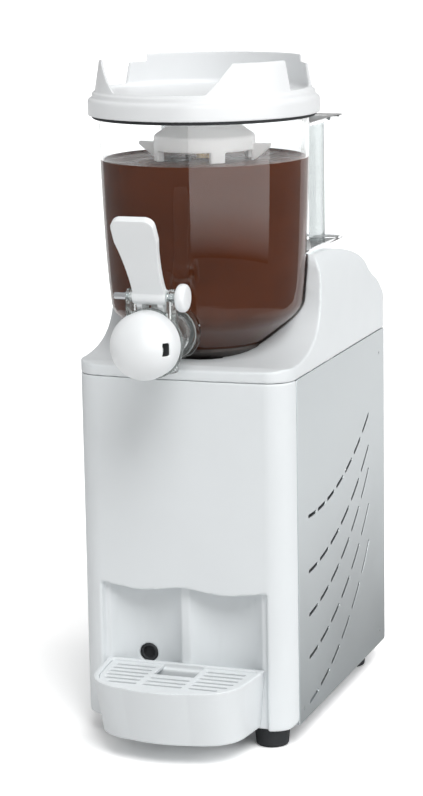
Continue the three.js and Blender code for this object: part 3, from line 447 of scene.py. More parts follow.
def brushed(name, colour, stretch):
    """Brushed sheet: long fine streaks along one axis, over slow changes of tone."""
    paint = new_paint(name)
    streaks = paint.noise(1.0, 4, stretch, 0.65)
    tone = paint.math("MULTIPLY_ADD", paint.noise(9, 2), 0.25, paint.math("MULTIPLY", streaks, 0.75))
    paint.coat({
        "Metallic": 1.0,
        "Base Color": paint.ramp(tone, *tones(colour, 0.05)),
        "Roughness": paint.spread(tone, 0.26, 0.4),
    })
    paint.bump(streaks, 0.00001, 0.6)
    return paint.owner


def metal(name, colour, roughness=(0.3, 0.45), grain=900, depth=0.00002):
    paint = new_paint(name)
    patches = paint.noise(60, 4)
    paint.coat({
        "Metallic": 1.0,
        "Base Color": paint.ramp(patches, *tones(colour, 0.06)),
        "Roughness": paint.spread(patches, *roughness),
    })
    paint.bump(paint.noise(grain, 3), depth)
    return paint.owner


def clear(name, tint, roughness=(0.01, 0.03), transmission=1.0, frost=0.0, gloss=0.5, ior=1.5):
    """Clear plastic that the lamps shine through. Frost is the depth of its fine surface texture."""
    paint = new_paint(name)
    haze = paint.noise(30, 3)
    paint.coat({
        "Transmission Weight": transmission,
        "IOR": ior,
        "Specular IOR Level": gloss,
        "Base Color": paint.ramp(haze, *tones(tint, 0.008)),
        "Roughness": paint.spread(haze, *roughness),
    })
    if frost:
        paint.bump(paint.noise(900, 2), frost)
    through = paint.add("BsdfTransparent", {"Color": (*tint, 1)})
    shadow = paint.add("LightPath").outputs["Is Shadow Ray"]
    chosen = paint.add("MixShader", {0: shadow, 1: paint.shader.outputs[0], 2: through.outputs[0]})
    paint.feed(paint.nodes["Material Output"], {"Surface": chosen.outputs[0]})
    return paint.owner


DRINK_DARK = (0.058, 0.016, 0.006)
DRINK_LIGHT = (0.076, 0.022, 0.009)


def drink(name, gloss):
    """Thick chocolate with slow swirls of tone. Gloss is nought where it wets the bowl."""
    paint = new_paint(name)
    paint.coat({
        "Base Color": paint.ramp(paint.noise(16, 4, (1, 1, 2.2)), DRINK_DARK, DRINK_LIGHT),
        "Roughness": paint.spread(paint.noise(50, 3), 0.22, 0.34),
        "Specular IOR Level": 0.5 * gloss,
    })
    if gloss:
        paint.bump(paint.noise(45, 2), 0.0001, 0.4)
    return paint.owner


WHITE = plastic("moulded_white", (0.74, 0.77, 0.785))
LID_WHITE = plastic("lid_white", (0.8, 0.815, 0.825), (0.28, 0.31))
TAP_WHITE = plastic("tap_white", (0.84, 0.86, 0.87), (0.28, 0.31), subsurface=0.1)
NYLON = plastic("stirrer_nylon", (0.93, 0.94, 0.93), (0.4, 0.5), subsurface=0.15)
PANEL_STEEL = brushed("panel_steel", (0.66, 0.7, 0.715), (420, 3, 3))
REAR_STEEL = brushed("rear_steel", (0.62, 0.65, 0.67), (3, 420, 420))
PLAIN_STEEL = metal("plain_steel", (0.55, 0.57, 0.6))
PIN_STEEL = metal("pin_steel", (0.66, 0.68, 0.7), (0.15, 0.25))
CAST_METAL = metal("cast_metal", (0.5, 0.52, 0.54), (0.4, 0.55), 500, 0.00006)
COATING = metal("dish_coating", (0.1, 0.09, 0.085), (0.35, 0.5))
BRASS = metal("turned_brass", (0.7, 0.5, 0.22), (0.2, 0.35))
RUBBER = plastic("black_rubber", (0.018, 0.02, 0.023), (0.65, 0.85), 1600, 0.00005, variation=0.25)
BLACK = plastic("black_plastic", (0.022, 0.023, 0.026), (0.4, 0.52), 1800, 0.00004, variation=0.2)
CLEAR = clear("bowl_clear", (0.985, 0.99, 0.992), gloss=0.2)
HANDLE_CLEAR = clear("handle_clear", (0.93, 0.95, 0.955), ior=1.3)
SMOKY = clear("tap_clear", (0.68, 0.71, 0.705), (0.05, 0.12), 0.95, 0.00002)
POST_CLEAR = clear("post_clear", (0.64, 0.67, 0.67), (0.1, 0.18), 0.8)
CHOCOLATE = drink("chocolate_wetted", 0)
CHOCOLATE_TOP = drink("chocolate_surface", 0.02)


# Housing
def footprint(inset):
    """Plan outline of the housing: straight back, round front corners, gently bowed front."""
    side = HALF_WIDTH - inset
    centre = HALF_WIDTH - CORNER
    face = FRONT_LINE + inset
    return [
        (-side, BACK_LINE - inset),
        *arc((-centre, PANEL_FRONT), CORNER - inset, 180, 270, 24),
        *bend((-centre, face), (0, face - 2 * FRONT_BULGE), (centre, face), 40)[1:-1],
        *arc((centre, PANEL_FRONT), CORNER - inset, 270, 360, 24),
        (side, BACK_LINE - inset),
    ]


RECESS_HALF_WIDTH = 77
RECESS_DEPTH = 6
RECESS_TOP = 146
LIP_SAG = 4
LIP_CENTRE_SHARE = 0.125
RECESS_FLARE = 3.5
ALCOVE_OFFSET = 38
ALCOVE_HALF_WIDTH = 34
ALCOVE_DEPTH = 16
ALCOVE_BOTTOM = 62
DRAIN_RADIUS = 8.5
DRAIN_OFFSET = -42
TRAY_TOP = 75
DRAIN_Z = TRAY_TOP + DRAIN_RADIUS / 6
LOWER_CORNER = 8
RECESS_FACE = FRONT_LINE + RECESS_DEPTH


def casing_front(inset, low, high):
    """Front outline of the casing, with round lower corners."""
    side = HALF_WIDTH - inset
    return [
        (-side, high),
        *arc((-side + LOWER_CORNER, low + LOWER_CORNER), LOWER_CORNER, 180, 270),
        *arc((side - LOWER_CORNER, low + LOWER_CORNER), LOWER_CORNER, 270, 360),
        (side, high),
    ]


def recess_space(grow):
    """The recess and its two cup alcoves, grown on all sides."""
    front = FRONT_LINE - FRONT_BULGE - OVERRUN
    low, high = FOOT_HEIGHT - OVERRUN, RECESS_TOP + LIP_SAG
    radius = (ALCOVE_HALF_WIDTH ** 2 + ALCOVE_DEPTH ** 2) / (2 * ALCOVE_DEPTH)
    centre_y = RECESS_FACE + ALCOVE_DEPTH - radius
    half = RECESS_HALF_WIDTH + grow
    face = RECESS_FACE + grow
    wide = half + RECESS_FLARE
    mouth = face - RECESS_DEPTH
    flare = bend((wide, mouth - 0.5), (half, mouth + 1), (half, face - 1.5), 8)
    space = prism(mirrored([(wide, front), *flare, (half - 1.5, face)]), low, high + grow)
    for x in (-ALCOVE_OFFSET, ALCOVE_OFFSET):
        join(space, drum(radius + grow, ALCOVE_BOTTOM - grow, high + grow, (x, centre_y, 0), "up", ROUND))
    top = RECESS_TOP + grow
    knots = [(RECESS_HALF_WIDTH, top), (ALCOVE_OFFSET, top - LIP_SAG), (0, top + LIP_SAG * LIP_CENTRE_SHARE),
             (-ALCOVE_OFFSET, top - LIP_SAG), (-RECESS_HALF_WIDTH, top)]
    wave = [(-HALF_WIDTH, low - OVERRUN), (HALF_WIDTH, low - OVERRUN), (HALF_WIDTH, top),
            *spline(knots), (-HALF_WIDTH, top)]
    return keep(space, prism(wave, front - OVERRUN, BACK_LINE, "back"))


def casing_block(inset, low, high):
    """The casing's outer form without its recess, drawn in by an inset."""
    front = prism(casing_front(inset, low, high), FRONT_LINE - 2 * FRONT_BULGE, BACK_LINE, "back")
    return keep(prism(footprint(inset), low, high), front)


def front_casing():
    outer = casing_block(0, FOOT_HEIGHT, SEAM)
    beyond = HALF_WIDTH + 1
    cut(outer, box((-beyond, beyond), (PANEL_FRONT, BACK_LINE + OVERRUN), (0, SEAM + OVERRUN)))
    liner = keep(recess_space(WALL), prism(footprint(0), FOOT_HEIGHT, SEAM - 1))
    inner = casing_block(WALL, FOOT_HEIGHT + WALL, SEAM + OVERRUN)
    reach = RECESS_DEPTH + ALCOVE_DEPTH + 2 * WALL
    hole = drum(DRAIN_RADIUS, -reach, 0, (DRAIN_OFFSET, RECESS_FACE, DRAIN_Z), "front", 64)
    cut(outer, inner)
    join(outer, liner)
    cut(outer, recess_space(0), hole)
    soften(outer, 1.15, 4, 0.6)
    dress(outer, "casing_shell", "housing", WHITE, ["front_casing"])


def drain():
    back = RECESS_FACE + ALCOVE_DEPTH + 2 * WALL
    outer, inner = DRAIN_RADIUS - GAP, DRAIN_RADIUS - WALL
    ring = lathe([
        (0, 0), (outer, 0), (outer, 2 * WALL - 0.8), (outer - 0.8, 2 * WALL), (inner + 0.8, 2 * WALL),
        (inner, 2 * WALL - 0.8), (inner, 1), (0, 1),
    ], (DRAIN_OFFSET, back, DRAIN_Z), "front", 48)
    dress(ring, "drain_ring", "housing", RUBBER, ["drain_grommet"])


# Sheet panels, as flat filled outlines with holes
def sheet(outlines, thickness, edge=0.25):
    """A flat sheet in the XY plane with soft edges; the first outline is its border, the rest are holes."""
    curve = bpy.data.curves.new("sheet", "CURVE")
    curve.dimensions = "2D"
    curve.fill_mode = "BOTH"
    curve.extrude = thickness / 2 - edge
    curve.bevel_depth = edge
    curve.bevel_resolution = 2
    curve.offset = -edge
    for outline in outlines:
        path = curve.splines.new("POLY")
        path.points.add(len(outline) - 1)
        for point, (a, b) in zip(path.points, outline):
            point.co = (a, b, 0, 1)
        path.use_cyclic_u = True
    holder = new_object("sheet", curve)
    mesh = as_mesh(holder)
    bpy.data.objects.remove(holder)
    with reworking(mesh) as work:
        bmesh.ops.remove_doubles(work, verts=work.verts, dist=1e-4)
        bmesh.ops.recalc_face_normals(work, faces=work.faces)
    return new_object("sheet", mesh)


SHEET_ANGLE = 10
SHEET_CORNER = 2.5
STAND_SIDE = Matrix(((0, 0, 1, 0), (1, 0, 0, 0), (0, 1, 0, 0), (0, 0, 0, 1)))
STAND_BACK = Matrix(((1, 0, 0, 0), (0, 0, -1, 0), (0, 1, 0, 0), (0, 0, 0, 1)))

VENT_RADIUS = 305
VENT_WIDTH = 3.2
VENT_START = 55
VENT_END = 255
VENT_COUNTS = (7, 6, 6, 6, 6)
VENT_DASH_SHARE = 0.78
VENT_LOW_SHARES = (0.611, 0.46, 0.336, 0.216, 0.089)
VENT_CENTRE_SHARES = (0.242, 0.157, 0.091, 0.076, 0.057)


def vent_slots():
    """Dashes with round ends, on arcs of one radius."""
    slots = []
    half = VENT_WIDTH / 2
    for count, low_share, centre_share in zip(VENT_COUNTS, VENT_LOW_SHARES, VENT_CENTRE_SHARES):
        centre = (FRONT_LINE + centre_share * BODY_DEPTH, low_share * SEAM + VENT_RADIUS)
        pitch = (VENT_END - VENT_START) / count
        for dash in range(count):
            start = FRONT_LINE + VENT_START + dash * pitch
            ends = [math.degrees(math.asin((y - centre[0]) / VENT_RADIUS)) - 90
                    for y in (start, start + pitch * VENT_DASH_SHARE)]
            trim = math.degrees(half / VENT_RADIUS)
            first, last = ends[0] + trim, ends[1] - trim
            caps = [arc(centre, VENT_RADIUS, angle, angle, 1)[0] for angle in (last, first)]
            slots.append([
                *arc(centre, VENT_RADIUS + half, first, last, 10),
                *arc(caps[0], half, last, last + 180, 8)[1:-1],
                *arc(centre, VENT_RADIUS - half, last, first, 10),
                *arc(caps[1], half, first + 180, first + 360, 8)[1:-1],
            ])
    return slots


SCREW_RADIUS = 3.2
SCREW_TURN = 20
SIDE_SCREWS = ((PANEL_FRONT + 13, 32), (BACK_LINE - 18, 34), (BACK_LINE - 18, SEAM - 22))
SIDE_SCREW_SINK = 1.4
REAR_SCREWS = ((-1, 32), (1, 32), (-1, SEAM - 14), (1, SEAM - 14))
REAR_SCREW_INSET = 9
REAR_SCREW_SINK = 0.1


def screw(name, place, axis):
    """A round-headed screw with a cross slot."""
    r = SCREW_RADIUS
    head = lathe([(0, 0), (r, 0), (r, 0.4), (r * 0.8, 1.2), (r * 0.4, 1.6), (0, 1.7)], segments=32)
    slot, half = r * 0.6, r * 0.13
    cut(head, box((-slot, slot), (-half, half), (0.7, 3)), box((-half, half), (-slot, slot), (0.7, 3)))
    turn = {"right": spin(90, "Y"), "left": spin(-90, "Y"), "rear": spin(-90, "X")}[axis]
    turned(head, Matrix.Translation(place) @ turn @ spin(SCREW_TURN))
    dress(head, name, "housing", PIN_STEEL, sharp=30)


def side_panels():
    border = rounded(rectangle(PANEL_FRONT + GAP, BACK_LINE, FOOT_HEIGHT, SEAM), SHEET_CORNER)
    holes = vent_slots()
    for side, hand in ((1, "right"), (-1, "left")):
        panel = turned(sheet([border, *holes], SHEET), STAND_SIDE)
        turned(panel, Matrix.Translation((side * (HALF_WIDTH - SHEET / 2), 0, 0)))
        dress(panel, f"side_sheet_{hand}", "housing", PANEL_STEEL,
              [f"side_panel_{hand}"], SHEET_ANGLE)
        for number, (y, z) in enumerate(SIDE_SCREWS):
            screw(f"side_screw_{hand}_{number}", (side * (HALF_WIDTH - SIDE_SCREW_SINK), y, z), hand)


LOUVRE_WIDTH = 56
LOUVRE_HEIGHT = 5
LOUVRE_PITCH = 14
LOUVRE_ROWS = 9
LOUVRE_TOP = 300
LOUVRE_OFFSET = 42
CONTROL_Z = 70
INLET = (52, 15, 11)
SWITCH = (0, 10.5, 7.5)
KNOB_X = -50
SPINDLE = 3


def rear_panel():
    half = HALF_WIDTH - SHEET - GAP
    holes = []
    for row in range(LOUVRE_ROWS):
        for side in (-1, 1):
            left = side * LOUVRE_OFFSET - LOUVRE_WIDTH / 2
            z = LOUVRE_TOP - row * LOUVRE_PITCH
            holes.append(slot_hole(left, left + LOUVRE_WIDTH, z, LOUVRE_HEIGHT))
    for x, wide, tall in (INLET, SWITCH):
        wide, tall = wide + GAP, tall + GAP
        holes.append(rectangle(x - wide, x + wide, CONTROL_Z - tall, CONTROL_Z + tall))
    holes.append(arc((KNOB_X, CONTROL_Z), SPINDLE + GAP, 0, 345, 23))
    border = rounded(rectangle(-half, half, FOOT_HEIGHT, SEAM), SHEET_CORNER)
    panel = turned(sheet([border, *holes], SHEET), STAND_BACK)
    turned(panel, Matrix.Translation((0, BACK_LINE - SHEET / 2, 0)))
    dress(panel, "rear_sheet", "housing", REAR_STEEL, ["rear_panel"], SHEET_ANGLE)
    for number, (side, z) in enumerate(REAR_SCREWS):
        place = (side * (half - REAR_SCREW_INSET), BACK_LINE - REAR_SCREW_SINK, z)
        screw(f"rear_screw_{number}", place, "rear")


# Top cover
LIP_HEIGHT = 10
POCKET_FLOOR = SEAM + 11
HUMP_HEIGHT = 98
HUMP_REAR = 34
SHOULDER = 14
HUMP_BACK_SHARES = ((0, 0.01), (0.5, 0.08), (0.67, 0.34), (0.77, 0.42), (0.91, 0.5))
DECK_DROOP = 2.5
DECK_RISE = 2
SWEEP_FOOT = 24.5
SWEEP_HEAD = 22
SWEEP_SHARE = 0.68
NEST_GAP = 1.5
SEAT_RADIUS = 57
DISH_OPENING = 44


def cover_line():
    """Top edge of the cover from the side: low deck, concave sweep, upright face, falling back."""
    top, deck = SEAM + HUMP_HEIGHT, SEAM + LIP_HEIGHT
    sweep = (BOWL_Y + SWEEP_HEAD, SEAM + SWEEP_SHARE * HUMP_HEIGHT)
    middle = (FRONT_LINE + BACK_LINE) / 2
    hump = [(middle + way * BODY_DEPTH / 2, top - drop * HUMP_HEIGHT) for way, drop in HUMP_BACK_SHARES]
    return [
        (FRONT_LINE - 2 * FRONT_BULGE, deck - DECK_DROOP),
        (FRONT_LINE, deck),
        *bend((FRONT_LINE + LIP_HEIGHT, deck + DECK_RISE), (BOWL_Y + SWEEP_FOOT, deck), sweep, 40),
        *bend((sweep[0] + 2, top - SHOULDER), (sweep[0] + 3, top), (sweep[0] + SHOULDER, top), 16),
        *bend(*hump[:3], 30),
        *bend(*hump[3:], (BACK_LINE, SEAM + HUMP_REAR), 20),
    ]


def cover_profile(points, bottom):
    far = BACK_LINE + 2 * OVERRUN
    near = points[0][0] - OVERRUN
    return [(near, bottom), (far, bottom), (far, points[-1][1]), *reversed(points), (near, points[0][1])]


def cover_shoulders(inset, bottom):
    side = HALF_WIDTH - inset
    top = SEAM + HUMP_HEIGHT + OVERRUN - inset
    right = bend((side, top - 2.4 * SHOULDER), (side, top - 0.33 * SHOULDER), (side - SHOULDER, top), 20)
    return [(-side, bottom), (side, bottom), *mirrored(right)]


def nest_space(grow):
    """The space round the bowl that the cover leaves, grown by a wall."""
    high = SEAM + 2 * HUMP_HEIGHT
    face = below(offset(bowl_skin()[CONE_START:], -NEST_GAP - grow), high)
    return lathe([(0, face[0][1]), *face, (face[-1][0], high), (0, high)], BOWL_CENTRE, "up", 200)


def top_cover():
    low, high = SEAM + GAP, SEAM + 2 * HUMP_HEIGHT
    line = cover_line()
    span = (FRONT_LINE - 4 * FRONT_BULGE, BACK_LINE + 2 * OVERRUN)
    outer = prism(cover_profile(line, low), -HALF_WIDTH - 1, HALF_WIDTH + 1, "side")
    keep(outer, prism(footprint(0), low, high), prism(cover_shoulders(0, low), *span, "back"))
    bottom, half = low - OVERRUN, HALF_WIDTH - WALL
    cavity = prism(cover_profile(offset(line, -WALL), bottom), -half, half, "side")
    keep(cavity, prism(footprint(WALL), bottom, high), prism(cover_shoulders(WALL, bottom), *span, "back"))
    skin = keep(nest_space(WALL), drum(2 * HALF_WIDTH, POCKET_FLOOR - WALL, high + 1, BOWL_CENTRE, "up", 32))
    cut(cavity, skin, drum(SEAT_RADIUS, POCKET_FLOOR - WALL, POCKET_FLOOR, BOWL_CENTRE))
    cut(outer, cavity)
    cut(outer, nest_space(0), drum(DISH_OPENING, SEAM - OVERRUN, POCKET_FLOOR + OVERRUN, BOWL_CENTRE))
    soften(outer, 1.1, 4, 0.6)
    dress(outer, "cover_shell", "housing", WHITE, ["top_cover"])


# Feet
FOOT_RADIUS = 16.5
FOOT_TAPER = 2
FOOT_SHARES = (3, 2.6, 1.8, 1.4, 0.9, 0.8)


def feet():
    for end in ("front", "rear"):
        for hand in ("left", "right"):
            node = f"foot_{end}_{hand}"
            low, high = box_mm(node)
            centre = ((low.x + high.x) / 2, (low.y + high.y) / 2, 0)
            top = FOOT_HEIGHT - GAP
            a, b, c, d, e, f = [FOOT_RADIUS - share * FOOT_TAPER for share in FOOT_SHARES]
            profile = [(0, 1), (a, 1), (b, 0), (c, 0), *bend((d, 0.2), (e, 0.4), (f, 2.4), 8),
                       (FOOT_RADIUS - 0.1, top - 1), (FOOT_RADIUS - 0.4, top), (0, top)]
            foot = lathe(profile, centre, "up", 64)
            dress(foot, f"rubber_{node}", "housing", RUBBER, [node])


# Drip tray
TRAY_BOTTOM = 22
TRAY_HALF_WIDTH = 74
TRAY_REACH = 82
TRAY_CORNER = 40
TRAY_TAPER = 4
TRAY_BULGE = 5
TRAY_RIM = 9
TRAY_NARROWING = 0.06
TRAY_DRAFT = 0.2
CORNER_PULL = 0.12
GRILLE_THICKNESS = 3
GRILLE_DROP = 1.5
GRILLE_LEDGE = 4
GRILLE_RIB = 5
SLOT_WIDTH = 4.2
SLOT_PITCH = 9.5
SLOT_ROWS = 6
SLOT_COLUMNS = 3
NOTCH_HALF_WIDTH = 19
NOTCH_DEPTH = 28


def tray_outline(inset):
    """Plan of the tray: straight back, drawn-in sides, round front corners, bowed front."""
    back = RECESS_FACE - GAP - inset
    front = FRONT_LINE - TRAY_REACH + inset
    side = TRAY_HALF_WIDTH - inset
    near = side - TRAY_TAPER
    radius = TRAY_CORNER - inset
    knee = front + TRAY_BULGE + radius * CORNER_PULL
    left = bend((-near, front + TRAY_BULGE + radius), (-near + radius * CORNER_PULL, knee),
                (-near + radius, front + TRAY_BULGE), 24)
    middle = bend((-near + radius, front + TRAY_BULGE), (0, front - TRAY_BULGE),
                  (near - radius, front + TRAY_BULGE), 30)[1:-1]
    return [(-side, back), *left, *middle, *[(-x, y) for x, y in reversed(left)], (side, back)]


def drafted(piece):
    """Draws the lower end of a tray solid in, so that its walls have draft."""
    back = RECESS_FACE - GAP
    for vertex in piece.data.vertices:
        down = max(0.0, (TRAY_TOP - vertex.co.z) / (TRAY_TOP - TRAY_BOTTOM))
        vertex.co.x *= 1 - TRAY_NARROWING * down
        vertex.co.y = back + (vertex.co.y - back) * (1 - TRAY_DRAFT * down)
    return piece


def drip_tray():
    tray = drafted(prism(tray_outline(0), TRAY_BOTTOM, TRAY_TOP))
    well = drafted(prism(tray_outline(TRAY_RIM), TRAY_BOTTOM + WALL, TRAY_TOP + OVERRUN))
    ledge = prism(tray_outline(TRAY_RIM - GRILLE_LEDGE), TRAY_TOP - GRILLE_DROP - GRILLE_THICKNESS - GAP,
                  TRAY_TOP + OVERRUN)
    cut(tray, well, ledge)
    soften(tray, 0.9, 5, 0.6)
    dress(tray, "tray_shell", "tray", WHITE, ["drip_tray"])


def drip_grille():
    inset = TRAY_RIM - GRILLE_LEDGE + GAP
    back = RECESS_FACE - GAP - inset
    top = TRAY_TOP - GRILLE_DROP
    notch = mirrored([(NOTCH_HALF_WIDTH, back), (NOTCH_HALF_WIDTH, back - NOTCH_DEPTH)])
    border = [*tray_outline(inset), *notch]
    inner = tray_outline(inset + GRILLE_RIB)
    front = min(y for x, y in inner)
    usable = 2 * (TRAY_HALF_WIDTH - inset - GRILLE_RIB)
    length = usable / SLOT_COLUMNS - GRILLE_RIB
    holes = []
    for row in range(SLOT_ROWS):
        y = back - GRILLE_RIB - SLOT_PITCH * (row + 0.5)
        reach = grille_reach(inner, y)
        for column in range(SLOT_COLUMNS):
            x = (column - (SLOT_COLUMNS - 1) / 2) * (length + GRILLE_RIB)
            left, right = max(x - length / 2, -reach), min(x + length / 2, reach)
            if column == 1 and y + SLOT_WIDTH / 2 > back - NOTCH_DEPTH - GRILLE_RIB / 2:
                continue
            if right - left > 2 * SLOT_WIDTH and y > front + SLOT_WIDTH:
                holes.append(slot_hole(left, right, y, SLOT_WIDTH))
    plate = sheet([border, *holes], GRILLE_THICKNESS, 0.5)
    turned(plate, Matrix.Translation((0, 0, top - GRILLE_THICKNESS / 2)))
    dress(plate, "grille_plate", "grille", WHITE, ["drip_grille"], SHEET_ANGLE)


def grille_reach(outline, y):
    """Half width of an outline at a place along Y."""
    return min(abs(a[0] + (b[0] - a[0]) * (y - a[1]) / (b[1] - a[1]))
               for a, b in zip(outline, outline[1:]) if (a[1] - y) * (b[1] - y) <= 0 and a[1] != b[1])


# Bowl
BOWL_TOP = 568
BOWL_TOP_RADIUS = 93.5
BOWL_SHOULDER = 392
BOWL_SHOULDER_RADIUS = 85.5
BOWL_BELLY = 440
BOWL_BELLY_RADIUS = 91
CONE_TOP = 377.5
CONE_TOP_RADIUS = 76
CONE_BOTTOM = 337
CONE_BOTTOM_RADIUS = 25
BOWL_FLOOR = 331
FLOOR_ROUND = 8
BOWL_WALL = 2.2
STEM_RADIUS = 11.5
STEM_BORE = 8
STEM_TOP = 530
SPIGOT_RADIUS = 19
SPIGOT_BORE = 13
SPIGOT_REACH = 88
SPIGOT_FLANGE = 24.5
SPIGOT_FLANGE_THICKNESS = 3.2
BOWL_CENTRE = (0, BOWL_Y, 0)
CONE_START = 9


def bowl_skin():
    """Outer face of the bowl as (radius, height) from floor to rim. The cone's foot is at CONE_START."""
    return [
        (STEM_RADIUS, BOWL_FLOOR),
        *bend((CONE_BOTTOM_RADIUS - FLOOR_ROUND, BOWL_FLOOR), (CONE_BOTTOM_RADIUS - 2, BOWL_FLOOR),
              (CONE_BOTTOM_RADIUS + 2, CONE_BOTTOM + 1.6), 8),
        *bend((CONE_TOP_RADIUS - 3, CONE_TOP - 2.4), (CONE_TOP_RADIUS + 8, CONE_TOP + 6),
              (BOWL_SHOULDER_RADIUS, BOWL_SHOULDER), 12),
        *bend((BOWL_SHOULDER_RADIUS + 0.6, BOWL_SHOULDER + 6), (BOWL_BELLY_RADIUS, BOWL_BELLY),
              (BOWL_TOP_RADIUS, BOWL_TOP - 1), 30),
    ]


def bowl():
    skin = bowl_skin()
    inner_side = offset(skin, BOWL_WALL)
    inner_side[0] = (STEM_RADIUS, inner_side[1][1])
    rim = arc((BOWL_TOP_RADIUS - BOWL_WALL / 2, BOWL_TOP - 1), BOWL_WALL / 2, 0, 180, 8)[1:-1]
    shell = lathe([(STEM_BORE, BOWL_FLOOR), *skin, *rim, *reversed(inner_side),
                   (STEM_RADIUS, STEM_TOP), (STEM_BORE, STEM_TOP)], BOWL_CENTRE, "up", ROUND)
    tap_centre = (0, BOWL_Y, TAP_Z)
    spigot = drum(SPIGOT_RADIUS, 0, SPIGOT_REACH, tap_centre, "front")
    join(spigot, drum(SPIGOT_FLANGE, SPIGOT_REACH - SPIGOT_FLANGE_THICKNESS, SPIGOT_REACH,
                      tap_centre, "front"))
    inside = lathe([(0, BOWL_FLOOR + OVERRUN), *offset(skin, BOWL_WALL)[1:], (0, BOWL_TOP + OVERRUN)],
                   BOWL_CENTRE, "up", ROUND)
    cut(spigot, inside)
    join(shell, spigot)
    cut(shell, drum(SPIGOT_BORE, STEM_RADIUS + 2 * OVERRUN, SPIGOT_REACH + OVERRUN, tap_centre, "front"))
    dress(shell, "bowl_shell", "bowl_unit", CLEAR, ["bowl"], 25)


DRINK_LEVEL = 519
FILM = -0.05
MENISCUS = 1.8
STEM_MENISCUS = 1.6
MENISCUS_REACH = 4
TOP_LAYER = 0.5


def hot_chocolate():
    """The drink: it wets the bowl's inside and the stem, with a small meniscus at both."""
    inner_side = offset(bowl_skin(), BOWL_WALL + FILM)[1:]
    wet = below(inner_side, DRINK_LEVEL - 1)
    last = next((r, z) for r, z in inner_side if z >= DRINK_LEVEL - 1)
    share = (DRINK_LEVEL - wet[-1][1]) / (last[1] - wet[-1][1])
    edge = wet[-1][0] + (last[0] - wet[-1][0]) * share
    stem = STEM_RADIUS + FILM
    level, rim = DRINK_LEVEL, DRINK_LEVEL + MENISCUS
    profile = [(stem, wet[0][1]), *wet, (edge, rim),
               *bend((edge - 0.25, rim), (edge - 0.6, level), (edge - MENISCUS_REACH, level), 8),
               *bend((stem + MENISCUS_REACH, level), (stem + 0.6, level), (stem, level + STEM_MENISCUS), 8)]
    body = lathe(profile, BOWL_CENTRE, "up", ROUND)
    dress(body, "hot_chocolate", "bowl_unit", CHOCOLATE, sharp=60)
    body.data.materials.append(CHOCOLATE_TOP)
    for face in body.data.polygons:
        if face.center.z > (DRINK_LEVEL - TOP_LAYER) * MM and face.normal.z > 0.3:
            face.material_index = 1


HANDLE_HALF_WIDTH = 88
HANDLE_REACH = 129
HANDLE_BOTTOM = 434
HANDLE_TOP = 549
HANDLE_WALL = 3
GRIP_RADIUS = 7.5
GRIP_OFFSET = 72
GRIP_REACH = 100


def bowl_handle():
    reach, low, high = BOWL_Y + HANDLE_REACH, HANDLE_BOTTOM, HANDLE_TOP
    loop = box((-HANDLE_HALF_WIDTH, HANDLE_HALF_WIDTH), (BOWL_Y, reach), (low, high))
    cut(loop, box((-LID_RADIUS, LID_RADIUS), (BOWL_Y - OVERRUN, reach - HANDLE_WALL),
                  (low + HANDLE_WALL, high - HANDLE_WALL)))
    skin = offset(bowl_skin(), -GAP)
    room = [(0, 0), (skin[0][0], 0), *skin, (skin[-1][0], BOWL_TOP), (0, BOWL_TOP)]
    cut(loop, lathe(room, BOWL_CENTRE, "up", ROUND))
    bevelled(loop, 0.8, 3)
    dress(loop, "handle_loop", "bowl_unit", HANDLE_CLEAR, ["bowl_handle"], 25)
    for side, hand in ((-1, "left"), (1, "right")):
        post = drum(GRIP_RADIUS, low + HANDLE_WALL, high - HANDLE_WALL,
                    (side * GRIP_OFFSET, BOWL_Y + GRIP_REACH, 0), "up", 64)
        dress(post, f"grip_post_{hand}", "bowl_unit", POST_CLEAR, sharp=25)


# Lid
LID_RADIUS = 102.4
SKIRT_BOTTOM = 560
SKIRT_HEIGHT = 15
STEP_RADIUS = 98.5
DECK = 580
CROWN_BASE = 96
CROWN_TOP_RADIUS = 91.5
CROWN_TOP = 608
CROWN_KERB = 2
NOTCH_SHARES = (-0.85, -0.59, 0.36, 0.59)
NOTCH_DROP = 16
CROWN_GAP_SHARES = (-0.33, 0.39)
CROWN_STEP_SHARE = 0.8
CROWN_STEP_DROP = 7
SEAL_HEIGHT = 2.7
SEAL_OUTER = 99


def lid_profile():
    skirt_top = SKIRT_BOTTOM + SKIRT_HEIGHT
    plug = BOWL_TOP_RADIUS - 2 * BOWL_WALL
    inner = LID_RADIUS - WALL
    land = BOWL_TOP + GAP
    wall_foot = CROWN_BASE - WALL - 1
    return [
        (0, DECK - WALL), (plug - WALL, DECK - WALL), (plug - WALL, SKIRT_BOTTOM), (plug, SKIRT_BOTTOM),
        (plug, land), (inner, land), (inner, SKIRT_BOTTOM), (LID_RADIUS, SKIRT_BOTTOM),
        *bend((LID_RADIUS, skirt_top - 4), (LID_RADIUS, skirt_top), (LID_RADIUS - 4, skirt_top), 8),
        *bend((STEP_RADIUS + 1, skirt_top), (STEP_RADIUS, skirt_top), (STEP_RADIUS, skirt_top + 1), 4),
        *bend((STEP_RADIUS, DECK - 2), (STEP_RADIUS, DECK), (STEP_RADIUS - 2, DECK), 6),
        (CROWN_BASE, DECK), (CROWN_TOP_RADIUS, CROWN_TOP - 1.5),
        *bend((CROWN_TOP_RADIUS, CROWN_TOP - 1.5), (CROWN_TOP_RADIUS - 0.3, CROWN_TOP),
              (CROWN_TOP_RADIUS - WALL / 2, CROWN_TOP), 5),
        (CROWN_TOP_RADIUS - WALL, CROWN_TOP - 0.6), (wall_foot, DECK + 3),
        *bend((wall_foot, DECK + 3), (wall_foot, DECK - 1), (wall_foot - 5, DECK - 1), 6), (0, DECK - 1),
    ]


